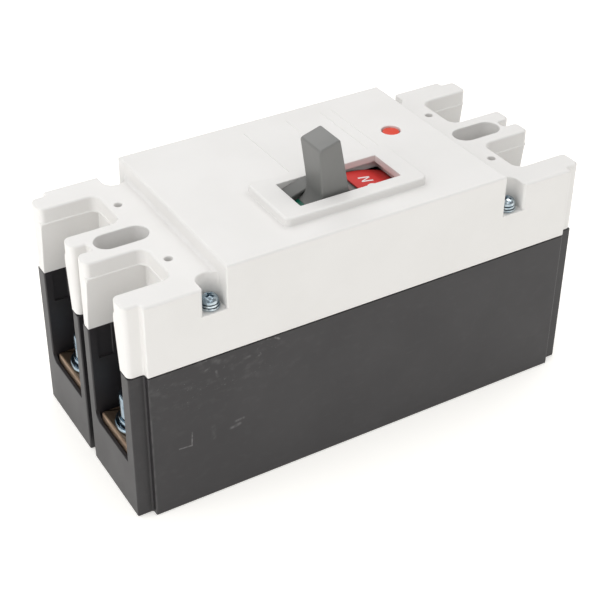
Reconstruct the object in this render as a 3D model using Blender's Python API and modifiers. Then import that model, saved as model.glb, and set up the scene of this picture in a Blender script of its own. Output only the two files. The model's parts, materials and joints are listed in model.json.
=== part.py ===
"""Two-pole molded case circuit breaker, built as the separate pieces it comes apart into.

Metres, +Z up. X runs from the line end (-X) to the load end (+X), Y across the poles and Z from
the mounting face up to the handle. The origin is the centre of the mounting face. The breaker is
drawn switched on: the handle leans to the line end and the contacts are closed.
"""

import math

import bmesh
import bpy
from mathutils import Matrix, Vector

MM = 0.001

# Fits
CLEARANCE = 0.3 * MM          # between pieces that touch
OVER = 1.0 * MM               # how far a cutter runs past the face it opens
WELD = 0.001 * MM

# Case
CASE_LENGTH = 165.0 * MM
CASE_WIDTH = 74.5 * MM
BASE_HEIGHT = 54.8 * MM
COVER_HEIGHT = 25.0 * MM      # from the seam to the lower ends of the cover
STEP_RISE = 5.2 * MM          # from the lower ends to the raised middle
END_SPAN = 31.7 * MM          # length of each lower end
SIDE_WALL = 3.5 * MM
ROOF = 3.0 * MM
FLOOR = 4.0 * MM
END_BLOCK = 34.5 * MM         # from the end face to the chamber of the contacts
POLE_WALL = 4.0 * MM          # wall between the two chambers

# Grooves that take the barriers between neighbouring breakers
GROOVE_LENGTH = 4.8 * MM
GROOVE_DEPTH = 2.25 * MM
BARRIER_SLOT_WIDTH = 3.8 * MM
BARRIER_SLOT_DEPTH = 4.8 * MM

# Terminals
TERMINAL_WALL = 1.775 * MM    # between a terminal and the mounting well
TERMINAL_DEPTH = 24.0 * MM
TERMINAL_FLOOR = 17.6 * MM
ENTRY_DEPTH = 18.6 * MM       # of the opening in the cover, from the end face
ENTRY_RADIUS = 8.0 * MM
ENTRY_LIP = 7.8 * MM          # height of the narrower upper band
ENTRY_RELIEF = 1.0 * MM       # how much wider the opening is under that band
RELIEF_RADIUS = 2.5 * MM
BAR_SIDE_GAP = 1.8 * MM       # beside a bar in its compartment
BAR_THICKNESS = 4.0 * MM
BAR_CORNER = 2.0 * MM
BAR_SETBACK = 1.0 * MM        # of the bar's outer end behind the end face
BOLT_SETBACK = 10.0 * MM      # of the bolt's axis behind the end face
BOLT_DIAMETER = 8.0 * MM
BOLT_HEAD_DIAMETER = 13.0 * MM
BOLT_HEAD_HEIGHT = 8.0 * MM
BOLT_CHAMFER = 0.7 * MM
BOLT_SOCKET = 6.0 * MM        # across the flats
BOLT_SOCKET_DEPTH = 4.5 * MM
BOLT_REACH = 8.0 * MM         # of the shank below the bar
FLAT_WASHER_DIAMETER = 16.0 * MM
FLAT_WASHER_THICKNESS = 1.5 * MM
SPRING_WASHER_DIAMETER = 14.2 * MM
SPRING_WASHER_THICKNESS = 1.9 * MM
WASHER_SPLIT = 1.6 * MM

# Mounting wells and the small blind holes in the lower ends
WELL_LENGTH = 18.0 * MM
WELL_WIDTH = 8.6 * MM
WELL_SETBACK = 15.4 * MM      # of the well's middle behind the end face
WELL_FLOOR = 8.0 * MM
MOUNTING_HOLE = 5.5 * MM
BLIND_HOLE = 2.6 * MM
BLIND_HOLE_DEPTH = 8.0 * MM
BLIND_HOLE_SETBACK = 22.5 * MM

# Cover screws in their side pockets
POCKET_RADIUS = 3.9 * MM
POCKET_DEPTH = 9.7 * MM       # below the lower ends of the cover
SCREW_EDGE = 3.6 * MM         # of the screw's axis inside the long side
SCREW_DIAMETER = 4.0 * MM
SCREW_HEAD_DIAMETER = 6.8 * MM
SCREW_HEAD_HEIGHT = 2.6 * MM
SCREW_RECESS_WIDTH = 1.0 * MM
SCREW_RECESS_DEPTH = 1.3 * MM
SCREW_GRIP = 16.0 * MM        # of the shank in the base
SCREW_WASHER_DIAMETER = 7.0 * MM
SCREW_WASHER_THICKNESS = 1.1 * MM

# Handle window
HANDLE_X = 0.9 * MM
HANDLE_SHIFT = 1.875 * MM     # of the window from the near pole's middle
BEZEL_SHIFT = -1.2 * MM       # of the bezel from the window, along X
BEZEL_LENGTH = 50.0 * MM
BEZEL_WIDTH = 25.0 * MM
BEZEL_RISE = 3.0 * MM
BEZEL_WALL = 2.75 * MM
WINDOW_LENGTH = 36.8 * MM
WINDOW_WIDTH = 14.9 * MM
LID = 2.3 * MM                # thickness of the bezel round the window

# Handle and shutter
PIVOT_HEIGHT = 42.0 * MM
LEVER_TILT = math.radians(6.5)
SHUTTER_GAP = 1.3 * MM        # under the bezel
SHUTTER_SIDE_GAP = 0.5 * MM
SHUTTER_THICKNESS = 2.0 * MM
SHUTTER_OFF_SIDE = math.radians(40.0)
SHUTTER_ON_SIDE = math.radians(35.0)
LEVER_RISE = 17.1 * MM        # above the bezel
LEVER_TOP_LENGTH = 7.7 * MM
LEVER_NECK_LENGTH = 9.2 * MM
LEVER_TOP_WIDTH = 11.4 * MM
LEVER_BASE_WIDTH = 13.0 * MM
LEVER_FLARE = 8.0 * MM
PAD_WIDTH = 3.4 * MM          # raised pad beside the lever
PAD_LENGTH = 14.0 * MM
PAD_RISE = 2.4 * MM
PAD_DROP = 3.0 * MM
BOSS_LENGTH = 8.0 * MM
BOSS_WIDTH = 10.0 * MM
FLAG_THICKNESS = 0.5 * MM
FLAG_MARGIN = 1.2 * MM
ON_FLAG_START = math.radians(16.5)
OFF_FLAG_START = math.radians(17.5)

# Mechanism
PLATE_SPACING = 18.4 * MM     # between the side plates
PLATE_THICKNESS = 1.5 * MM
PLATE_LENGTH = 36.0 * MM
BAR_PLATE_GAP = 2.0 * MM      # from the side plates to the bars' inner ends
PLATE_TOP = 62.0 * MM
YOKE_PLATE_GAP = 0.8 * MM     # between the yoke's arms and the side plates
YOKE_THICKNESS = 1.5 * MM
YOKE_LENGTH = 9.0 * MM
YOKE_DROP = 6.0 * MM          # of the yoke's arms below the pivot
YOKE_SETBACK = 6.4 * MM       # of the yoke's bridge inside the shutter
TRUNNION_RADIUS = 2.0 * MM
SPRING_RADIUS = 2.4 * MM
SPRING_WIRE = 0.8 * MM
SPRING_TURNS = 8
SPRING_SPREAD = 12.0 * MM
SPRING_BOTTOM = 7.0 * MM      # above the handle's pivot
CRADLE_THICKNESS = 2.4 * MM
CRADLE_PIVOT = Vector((-12.0 * MM, 46.0 * MM))
CRADLE_TIP = Vector((19.0 * MM, 57.5 * MM))
CRADLE_RADIUS = 2.8 * MM
LINK_TOP = Vector((2.0 * MM, 54.0 * MM))
LINK_PIN_RADIUS = 1.6 * MM
UPPER_LINK_LENGTH = 11.2 * MM
UPPER_LINK_LEAN = math.radians(7.8)
UPPER_LINK_THICKNESS = 1.2 * MM
UPPER_EYE_RADIUS = 3.6 * MM
KNEE_SLACK = 1.2 * MM         # play of the knee pin in the upper link
KNEE_PIN_RADIUS = 1.3 * MM
KNEE_PIN_LENGTH = 16.4 * MM
LOWER_LINK_THICKNESS = 1.2 * MM
LOWER_EYE_RADIUS = 2.8 * MM
CRANK_PIN_RADIUS = 1.5 * MM
LINK_BRIDGE = 3.0 * MM

# Contacts
CROSSBAR_X = 12.0 * MM
CROSSBAR_RADIUS = 5.0 * MM
CRANK = Vector((-10.0 * MM, 1.0 * MM))
CRANK_THICKNESS = 1.6 * MM
CRANK_RADIUS = 2.5 * MM
ARM_WIDTH = 8.0 * MM
ARM_THICKNESS = 4.0 * MM
ARM_DROP = 3.2 * MM           # of the arm's underside below the crossbar's axis
ARM_CHUTE_GAP = 2.0 * MM      # from the arm's tip to the arc chute
ARM_TAIL = 5.0 * MM
CONTACT_SIZE = 8.0 * MM
CONTACT_THICKNESS = 2.0 * MM
CONTACT_SETBACK = 5.0 * MM    # of the contact's middle behind the arm's tip
DEEP_MARGIN = 1.0 * MM        # from the bars' inner ends to the deep part of the chamber
CHUTE_LENGTH = 13.0 * MM
CHUTE_WIDTH = 24.0 * MM
CHUTE_WALL = 1.5 * MM
CHUTE_TOP_GAP = 4.5 * MM      # under the seam
CHUTE_PLATES = 8
CHUTE_PLATE_THICKNESS = 1.4 * MM
CHUTE_SETBACK = 2.0 * MM
BRAID_RADIUS = 1.4 * MM
BRAID_LANDING = 1.8 * MM      # on the bar, from its inner end
BRAID_RISE = 5.0 * MM
BRAID_POINTS = 11

# Trip unit
BIMETAL_GAP = 1.05 * MM       # to the trip bar's finger
BIMETAL_WIDTH = 8.0 * MM
BIMETAL_THICKNESS = 1.2 * MM
BIMETAL_HEIGHT = 19.5 * MM
MAGNET_MARGIN = 0.6 * MM      # of the magnet beyond the bimetal
MAGNET_BASE_LENGTH = 8.5 * MM
MAGNET_CHEEK_LENGTH = 4.5 * MM
MAGNET_WIDTH = 18.0 * MM
MAGNET_THICKNESS = 2.0 * MM
MAGNET_HEIGHT = 16.0 * MM
ARMATURE_WIDTH = 16.0 * MM
ARMATURE_THICKNESS = 1.2 * MM
ARMATURE_HEIGHT = 13.5 * MM
ARMATURE_GAP = 1.8 * MM
TRIP_BAR_RADIUS = 2.5 * MM
TRIP_BAR_SETBACK = 4.0 * MM   # of its axis from the chamber's end
TRIP_BAR_DROP = 4.8 * MM      # of its axis below the seam
TRIP_FINGER_WIDTH = 4.0 * MM
TRIP_FINGER_LENGTH = 8.0 * MM
TRIP_FINGER_THICKNESS = 2.5 * MM
BUTTON_STEP = 14.2 * MM       # of the button's axis from the load end of the raised middle
BUTTON_Y = 7.5 * MM
BUTTON_DIAMETER = 6.0 * MM
BUTTON_SETBACK = 0.3 * MM     # of its top below the cover's top
BUTTON_FLANGE_DIAMETER = 9.0 * MM
BUTTON_FLANGE_THICKNESS = 1.5 * MM
BUTTON_STEM_DIAMETER = 3.0 * MM
BUTTON_PAD_WIDTH = 5.0 * MM
BUTTON_PAD_MARGIN = 2.0 * MM
BUTTON_PAD_THICKNESS = 3.0 * MM
SLEEVE_WALL = 1.4 * MM
SLEEVE_DEPTH = 13.0 * MM      # of the button's sleeve below the roof
SLEEVE_FLOOR = 1.6 * MM
BUTTON_SPRING_RADIUS = 3.2 * MM
BUTTON_SPRING_WIRE = 0.7 * MM
BUTTON_SPRING_TURNS = 5

# Roundness
ROUND_SIDES = 24
SMALL_SIDES = 16
ARC_STEPS = 6
CURL_POINTS = 9

# Worked out from the sizes above
HALF_LENGTH = CASE_LENGTH / 2
HALF_WIDTH = CASE_WIDTH / 2
SEAM = BASE_HEIGHT + CLEARANCE
END_TOP = BASE_HEIGHT + COVER_HEIGHT
TOP = END_TOP + STEP_RISE
STEP_X = HALF_LENGTH - END_SPAN
CHAMBER_X = HALF_LENGTH - END_BLOCK
CHAMBER_Y = HALF_WIDTH - SIDE_WALL
POLE_Y = (POLE_WALL / 2 + CHAMBER_Y) / 2
TERMINAL_WIDTH = 2 * (POLE_Y - WELL_WIDTH / 2 - TERMINAL_WALL)
BAR_WIDTH = TERMINAL_WIDTH - 2 * BAR_SIDE_GAP
BAR_BOTTOM = TERMINAL_FLOOR + CLEARANCE
BAR_TOP = BAR_BOTTOM + BAR_THICKNESS
BOLT_X = HALF_LENGTH - BOLT_SETBACK
POCKET_FLOOR = END_TOP - POCKET_DEPTH
SCREW_X = STEP_X + POCKET_RADIUS
SCREW_Y = HALF_WIDTH - SCREW_EDGE
MECHANISM_Y = -POLE_Y
HANDLE_Y = MECHANISM_Y + HANDLE_SHIFT
BEZEL_X = HANDLE_X + BEZEL_SHIFT
BEZEL_TOP = TOP + BEZEL_RISE
LID_UNDERSIDE = BEZEL_TOP - LID
SHUTTER_RADIUS = LID_UNDERSIDE - SHUTTER_GAP - PIVOT_HEIGHT
SHUTTER_WIDTH = BEZEL_WIDTH - 2 * BEZEL_WALL - 2 * SHUTTER_SIDE_GAP
LEVER_TOP_RADIUS = BEZEL_TOP - PIVOT_HEIGHT + LEVER_RISE
YOKE_RADIUS = SHUTTER_RADIUS - YOKE_SETBACK
YOKE_SPACING = PLATE_SPACING + 2 * PLATE_THICKNESS + 2 * YOKE_PLATE_GAP
FIXED_CONTACT_TOP = BAR_TOP + CLEARANCE + CONTACT_THICKNESS
PLATE_LEFT = HANDLE_X - PLATE_LENGTH / 2
PLATE_RIGHT = HANDLE_X + PLATE_LENGTH / 2
LINE_BAR_INNER = PLATE_LEFT - BAR_PLATE_GAP
LOAD_BAR_INNER = PLATE_RIGHT + BAR_PLATE_GAP
CHUTE_LEFT = CHUTE_SETBACK - CHAMBER_X
CHUTE_RIGHT = CHUTE_LEFT + CHUTE_LENGTH
ARM_REACH = CROSSBAR_X - CHUTE_RIGHT - ARM_CHUTE_GAP
CONTACT_REACH = ARM_REACH - CONTACT_SETBACK
ARM_BOTTOM = FIXED_CONTACT_TOP + CLEARANCE + CONTACT_THICKNESS + CLEARANCE
CROSSBAR_Z = ARM_BOTTOM + ARM_DROP
CROSSBAR_AXIS = Vector((CROSSBAR_X, 0, CROSSBAR_Z))
HANDLE_AXIS = Vector((HANDLE_X, 0, PIVOT_HEIGHT))
TRIP_AXIS = Vector((CHAMBER_X - TRIP_BAR_SETBACK, 0, BASE_HEIGHT - TRIP_BAR_DROP))
BIMETAL_RIGHT = TRIP_AXIS.x - TRIP_FINGER_THICKNESS / 2 - BIMETAL_GAP
MAGNET_RIGHT = BIMETAL_RIGHT + MAGNET_MARGIN
BUTTON_X = STEP_X - BUTTON_STEP
KNEE = LINK_TOP + UPPER_LINK_LENGTH * Vector((math.sin(UPPER_LINK_LEAN), -math.cos(UPPER_LINK_LEAN)))
CRANK_PIN = Vector((CROSSBAR_AXIS.x, CROSSBAR_AXIS.z)) + CRANK

ENDS = (("line", -1), ("load", 1))
POLES = (("near", -POLE_Y), ("far", POLE_Y))
AXIS_TURNS = {
    "X": Matrix(((0, 0, 1, 0), (1, 0, 0, 0), (0, 1, 0, 0), (0, 0, 0, 1))),
    "Y": Matrix(((1, 0, 0, 0), (0, 0, -1, 0), (0, 1, 0, 0), (0, 0, 0, 1))),
    "Z": Matrix.Identity(4),
}
AXIS_STEPS = {"X": Vector((1, 0, 0)), "Y": Vector((0, 1, 0)), "Z": Vector((0, 0, 1))}

# Colour, roughness and metallic value of each material
FINISHES = {
    "white_cover": ((0.83, 0.83, 0.81), 0.45, 0.0),
    "black_base": ((0.055, 0.053, 0.054), 0.55, 0.0),
    "grey_handle": ((0.20, 0.20, 0.19), 0.5, 0.0),
    "red": ((0.62, 0.02, 0.015), 0.45, 0.0),
    "green": ((0.0, 0.10, 0.06), 0.45, 0.0),
    "copper": ((0.55, 0.36, 0.24), 0.35, 1.0),
    "silver_contact": ((0.80, 0.79, 0.76), 0.3, 1.0),
    "zinc": ((0.62, 0.68, 0.74), 0.25, 1.0),
    "steel": ((0.45, 0.45, 0.46), 0.4, 1.0),
    "black_insulator": ((0.03, 0.03, 0.035), 0.6, 0.0),
}

parts = None
cutters = None


def clear_scene():
    """Removes what the scene holds and makes the two collections."""
    global parts, cutters
    for old in list(bpy.data.objects):
        bpy.data.objects.remove(old)
    parts = bpy.data.collections.new("molded_case_breaker")
    cutters = bpy.data.collections.new("cutters")
    bpy.context.scene.collection.children.link(parts)
    bpy.context.scene.collection.children.link(cutters)


def material(finish):
    """The named Principled material, made once."""
    known = bpy.data.materials.get(finish)
    if known:
        return known
    colour, roughness, metallic = FINISHES[finish]
    made = bpy.data.materials.new(finish)
    made.use_nodes = True
    shader = made.node_tree.nodes["Principled BSDF"]
    shader.inputs["Base Color"].default_value = (*colour, 1.0)
    shader.inputs["Roughness"].default_value = roughness
    shader.inputs["Metallic"].default_value = metallic
    return made


def add(name, bm, carrier=None):
    """Makes an object of a bmesh, in the parts collection, under the empty that carries it."""
    mesh = bpy.data.meshes.new(name)
    bmesh.ops.recalc_face_normals(bm, faces=bm.faces)
    bm.to_mesh(mesh)
    bm.free()
    mesh.shade_smooth()
    mesh.set_sharp_from_angle(angle=math.radians(30))
    made = bpy.data.objects.new(name, mesh)
    made.parent = carrier
    parts.objects.link(made)
    return made


def finish(piece, name):
    """Gives a piece its material."""
    piece.data.materials.append(material(name))
    return piece


def axis_empty(name, place, lean=0.0):
    """An empty on a joint's axis, which runs along Y."""
    made = bpy.data.objects.new(name, None)
    made.location = place
    made.rotation_euler = (0, lean, 0)
    parts.objects.link(made)
    return made


def box(name, low, high, carrier=None):
    """A block between two corners."""
    low = Vector(low)
    high = Vector(high)
    bm = bmesh.new()
    place = Matrix.Translation((low + high) / 2) @ Matrix.Diagonal((*(high - low), 1))
    bmesh.ops.create_cube(bm, size=1, matrix=place)
    return add(name, bm, carrier)


def rod(name, radius, axis, start, length, sides=ROUND_SIDES, carrier=None):
    """A round bar that runs from start along X, Y or Z."""
    bm = bmesh.new()
    place = Matrix.Translation(Vector(start) + AXIS_STEPS[axis] * length / 2) @ AXIS_TURNS[axis]
    bmesh.ops.create_cone(
        bm, cap_ends=True, segments=sides, radius1=radius, radius2=radius, depth=length, matrix=place
    )
    return add(name, bm, carrier)


def mesh_of(curve_object):
    """The welded bmesh of a curve, which is then removed."""
    bpy.context.scene.collection.objects.link(curve_object)
    graph = bpy.context.evaluated_depsgraph_get()
    mesh = bpy.data.meshes.new_from_object(curve_object.evaluated_get(graph))
    bpy.data.objects.remove(curve_object)
    bm = bmesh.new()
    bm.from_mesh(mesh)
    bpy.data.meshes.remove(mesh)
    bmesh.ops.remove_doubles(bm, verts=bm.verts, dist=WELD)
    return bm


def extrusion(name, outline, axis, low, high, holes=(), carrier=None):
    """A flat outline with holes, drawn in YZ, XZ or XY and extruded along X, Y or Z."""
    curve = bpy.data.curves.new(name, "CURVE")
    curve.dimensions = "2D"
    curve.fill_mode = "BOTH"
    curve.extrude = (high - low) / 2
    for points in (outline, *holes):
        spline = curve.splines.new("POLY")
        spline.points.add(len(points) - 1)
        for point, (across, up) in zip(spline.points, points):
            point.co = (across, up, 0, 1)
        spline.use_cyclic_u = True
    bm = mesh_of(bpy.data.objects.new(name, curve))
    middle = AXIS_STEPS[axis] * (low + high) / 2
    bmesh.ops.transform(bm, verts=bm.verts, matrix=Matrix.Translation(middle) @ AXIS_TURNS[axis])
    return add(name, bm, carrier)


def tube(name, points, radius, resolution, carrier=None):
    """A wire along a line of points, with closed ends."""
    curve = bpy.data.curves.new(name, "CURVE")
    curve.dimensions = "3D"
    curve.bevel_depth = radius
    curve.bevel_resolution = resolution
    curve.use_fill_caps = True
    spline = curve.splines.new("POLY")
    spline.points.add(len(points) - 1)
    for point, place in zip(spline.points, points):
        point.co = (*place, 1)
    return add(name, mesh_of(bpy.data.objects.new(name, curve)), carrier)


def turned(name, profile, place, sides=ROUND_SIDES, carrier=None):
    """A shape turned about Z: the profile runs from the axis down its outer side and back."""
    mesh = bpy.data.meshes.new(name)
    corners = [(radius, 0, height) for radius, height in profile]
    mesh.from_pydata(corners, [(i, i + 1) for i in range(len(corners) - 1)], [])
    made = bpy.data.objects.new(name, mesh)
    made.location = place
    made.parent = carrier
    parts.objects.link(made)
    screw = made.modifiers.new("turn", "SCREW")
    screw.steps = sides
    screw.render_steps = sides
    screw.use_merge_vertices = True
    screw.merge_threshold = WELD
    screw.use_smooth_shade = True
    return made


def put_away(tool):
    """Moves a cutting or joining shape to the cutters."""
    parts.objects.unlink(tool)
    cutters.objects.link(tool)
    tool.hide_render = True
    tool.display_type = "WIRE"


def combine(piece, tool, operation):
    """Adds a Boolean modifier to a piece."""
    step = piece.modifiers.new(tool.name, "BOOLEAN")
    step.operation = operation
    step.solver = "EXACT"
    step.object = tool


def cut(piece, *tools):
    """Cuts the tools out of a piece."""
    for tool in tools:
        combine(piece, tool, "DIFFERENCE")
        if tool.name in parts.objects:
            put_away(tool)
    return piece


def fuse(piece, *tools):
    """Joins the tools to a piece."""
    for tool in tools:
        combine(piece, tool, "UNION")
        if tool.name in parts.objects:
            put_away(tool)
    return piece


def group(name, pieces):
    """One object of several separate shapes, for a cut made in one step."""
    bm = bmesh.new()
    for piece in pieces:
        bm.from_mesh(piece.data)
        bpy.data.objects.remove(piece)
    return add(name, bm)


def arc(centre, radius, start, stop, steps=ARC_STEPS):
    """Points on an arc, with both ends; angles are counted from the first axis."""
    turn = (stop - start) / steps
    return [
        (centre[0] + radius * math.cos(start + i * turn), centre[1] + radius * math.sin(start + i * turn))
        for i in range(steps + 1)
    ]


def circle(centre, radius, sides=ROUND_SIDES):
    """Points round a circle."""
    return arc(centre, radius, 0, 2 * math.pi, sides)[:-1]


def capsule(start, stop, radius, steps=ARC_STEPS):
    """The outline of a link: a bar with round ends on two pivots."""
    along = stop - start
    heading = math.atan2(along.y, along.x)
    quarter = math.pi / 2
    return arc(start, radius, heading + quarter, heading + 3 * quarter, steps) + arc(
        stop, radius, heading - quarter, heading + quarter, steps
    )


def sector(inner, outer, start, stop, steps):
    """The outline of a curved plate; angles are counted from straight up towards +X."""
    quarter = math.pi / 2
    return arc((0, 0), outer, quarter - start, quarter - stop, steps) + arc(
        (0, 0), inner, quarter - stop, quarter - start, steps
    )


def split_ring(centre, outer, inner, gap, sides):
    """The outline of a split washer."""
    half = math.asin(gap / 2 / inner)
    return arc(centre, outer, half, 2 * math.pi - half, sides) + arc(
        centre, inner, 2 * math.pi - half, half, sides
    )


def slot(centre, length, width):
    """The outline of an oval along X."""
    reach = Vector(((length - width) / 2, 0))
    return capsule(Vector(centre) - reach, Vector(centre) + reach, width / 2, 2 * ARC_STEPS)


def helix(centre, radius, wire, bottom, top, turns):
    """Points of a coil spring about Z whose ends run straight for one wire diameter."""
    low = bottom + wire
    high = top - wire
    count = round(turns * CURL_POINTS)
    points = []
    for i in range(count + 1):
        angle = 2 * math.pi * i / CURL_POINTS
        height = low + (high - low) * i / count
        points.append((centre[0] + radius * math.cos(angle), centre[1] + radius * math.sin(angle), height))
    return [(*points[0][:2], bottom), *points, (*points[-1][:2], top)]


def report_coil_gap(name, points, wire):
    """Prints the least gap between the turns of a coil."""
    gap = min(
        (Vector(a) - Vector(b)).length - wire
        for i, a in enumerate(points)
        for b in points[i + CURL_POINTS // 2 + 1:]
    )
    print(f"{name}: least gap between turns {gap / MM:.2f} mm")


def at_each_terminal():
    """Yields a terminal's name, its end's sign and its pole's place."""
    for end, sign in ENDS:
        for pole, y in POLES:
            yield f"{end}_{pole}", sign, y


def at_each_screw():
    """Yields a cover screw's name and place."""
    for end, sign in ENDS:
        for pole, y in POLES:
            yield f"{end}_{pole}", sign * SCREW_X, math.copysign(SCREW_Y, y)


def end_box(name, sign, outer, inner, side_low, side_high, bottom, top):
    """A block at one end, between two distances from the case's middle."""
    near, far = sorted((sign * outer, sign * inner))
    return box(name, (near, side_low, bottom), (far, side_high, top))


def edge_grooves():
    """Half-grooves down the four corners and the barrier slot down the middle of each end."""
    shapes = []
    past = HALF_LENGTH + OVER
    for end, sign in ENDS:
        inner = HALF_LENGTH - GROOVE_LENGTH
        side = HALF_WIDTH - GROOVE_DEPTH
        beyond = HALF_WIDTH + OVER
        shapes.append(end_box("groove", sign, past, inner, side, beyond, -OVER, TOP + OVER))
        shapes.append(end_box("groove", sign, past, inner, -beyond, -side, -OVER, TOP + OVER))
        half = BARRIER_SLOT_WIDTH / 2
        slot_inner = HALF_LENGTH - BARRIER_SLOT_DEPTH
        shapes.append(end_box("slot", sign, past, slot_inner, -half, half, -OVER, TOP + OVER))
    return group("edge_grooves", shapes)


def mounting_wells():
    """Oval wells for the mounting screws, through the cover and down into the base."""
    wells = []
    for end, sign in ENDS:
        outline = slot((sign * (HALF_LENGTH - WELL_SETBACK), 0), WELL_LENGTH, WELL_WIDTH)
        wells.append(extrusion("well", outline, "Z", WELL_FLOOR, TOP + OVER))
    return group("mounting_wells", wells)


def screw_holes():
    """Holes for the four cover screws, from the pockets down into the base."""
    radius = SCREW_DIAMETER / 2 + CLEARANCE
    bottom = BASE_HEIGHT - SCREW_GRIP - CLEARANCE
    length = POCKET_FLOOR + OVER - bottom
    return group(
        "screw_holes",
        [rod("hole", radius, "Z", (x, y, bottom), length, SMALL_SIDES) for _, x, y in at_each_screw()],
    )


def notch(name, place, radius):
    """A round-bottomed notch in the wall between the poles, open at the seam."""
    outline = [(place.x + radius, BASE_HEIGHT + OVER), (place.x - radius, BASE_HEIGHT + OVER)]
    outline += arc((place.x, place.z), radius, math.pi, 2 * math.pi)
    half = POLE_WALL / 2 + OVER
    return extrusion(name, outline, "Y", -half, half)


def build_base(grooves, wells, holes):
    """The black base with its compartments and chambers."""
    base = box("base_housing", (-HALF_LENGTH, -HALF_WIDTH, 0), (HALF_LENGTH, HALF_WIDTH, BASE_HEIGHT))
    past = BASE_HEIGHT + OVER
    half = TERMINAL_WIDTH / 2
    inner = HALF_LENGTH - TERMINAL_DEPTH
    compartments = []
    bar_slots = []
    bolt_holes = []
    bar_half = BAR_WIDTH / 2 + CLEARANCE
    slot_top = BAR_TOP + CLEARANCE
    bolt_bottom = BAR_BOTTOM - BOLT_REACH - CLEARANCE
    outer = HALF_LENGTH + OVER
    slot_outer = inner + OVER
    slot_inner = CHAMBER_X - OVER
    for _, sign, y in at_each_terminal():
        compartments.append(end_box("room", sign, outer, inner, y - half, y + half, TERMINAL_FLOOR, past))
        bar_slots.append(
            end_box("bar", sign, slot_outer, slot_inner, y - bar_half, y + bar_half, TERMINAL_FLOOR, slot_top)
        )
        bolt_holes.append(
            rod(
                "bolt",
                BOLT_DIAMETER / 2 + CLEARANCE,
                "Z",
                (sign * BOLT_X, y, bolt_bottom),
                TERMINAL_FLOOR + OVER - bolt_bottom,
            )
        )
    chambers = []
    deep = []
    deep_start = LINE_BAR_INNER + DEEP_MARGIN
    deep_end = LOAD_BAR_INNER - DEEP_MARGIN
    for _, y in POLES:
        low, high = sorted((math.copysign(POLE_WALL / 2, y), math.copysign(CHAMBER_Y, y)))
        chambers.append(box("chamber", (-CHAMBER_X, low, TERMINAL_FLOOR), (CHAMBER_X, high, past)))
        deep.append(box("deep", (deep_start, low, FLOOR), (deep_end, high, TERMINAL_FLOOR + OVER)))
    mounting = [
        rod(
            "mount",
            MOUNTING_HOLE / 2,
            "Z",
            (sign * (HALF_LENGTH - WELL_SETBACK), 0, -OVER),
            WELL_FLOOR + 2 * OVER,
            SMALL_SIDES,
        )
        for _, sign in ENDS
    ]
    cut(base, grooves, group("compartments", compartments), group("chambers", chambers))
    cut(base, group("deep_chambers", deep), group("bar_slots", bar_slots), group("bolt_holes", bolt_holes))
    cut(base, wells, group("mounting_holes", mounting), holes)
    cut(base, notch("crossbar_notch", CROSSBAR_AXIS, CROSSBAR_RADIUS + CLEARANCE))
    cut(base, notch("trip_bar_notch", TRIP_AXIS, TRIP_BAR_RADIUS + CLEARANCE))
    return finish(base, "black_base")


def entry_outline(sign, y, width, depth, radius):
    """The opening over a terminal: open at the end, with round inner corners."""
    half = width / 2
    inner = HALF_LENGTH - depth
    quarter = math.pi / 2
    outline = [(HALF_LENGTH + OVER, half)]
    outline += arc((inner + radius, half - radius), radius, quarter, 2 * quarter)
    outline += arc((inner + radius, radius - half), radius, 2 * quarter, 3 * quarter)
    outline += [(HALF_LENGTH + OVER, -half)]
    return [(sign * along, y + across) for along, across in outline]


def pocket_outline(x, y):
    """A screw pocket: half-round inside and open at the long side."""
    side = math.copysign(1, y)
    past = side * (HALF_WIDTH + OVER)
    half_round = arc((0, 0), POCKET_RADIUS, 0, math.pi, 2 * ARC_STEPS)
    rounded = [(x + across, y - side * inward) for across, inward in half_round]
    return [(x + POCKET_RADIUS, past), *rounded, (x - POCKET_RADIUS, past)]


def add_button_sleeve(cover):
    """The sleeve under the roof that guides the trip button and seats its spring."""
    place = (BUTTON_X, BUTTON_Y)
    bore = BUTTON_FLANGE_DIAMETER / 2 + CLEARANCE
    underside = TOP - ROOF
    bottom = underside - SLEEVE_DEPTH
    seat = bottom + SLEEVE_FLOOR
    fuse(cover, rod("sleeve", bore + SLEEVE_WALL, "Z", (*place, bottom), SLEEVE_DEPTH + ROOF / 2))
    cut(cover, rod("sleeve_bore", bore, "Z", (*place, seat), underside - seat))
    hole = BUTTON_DIAMETER / 2 + CLEARANCE
    cut(cover, rod("button_hole", hole, "Z", (*place, underside - OVER), ROOF + 2 * OVER))
    stem = BUTTON_STEM_DIAMETER / 2 + CLEARANCE
    cut(cover, rod("stem_hole", stem, "Z", (*place, bottom - OVER), SLEEVE_FLOOR + 2 * OVER, SMALL_SIDES))


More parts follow.
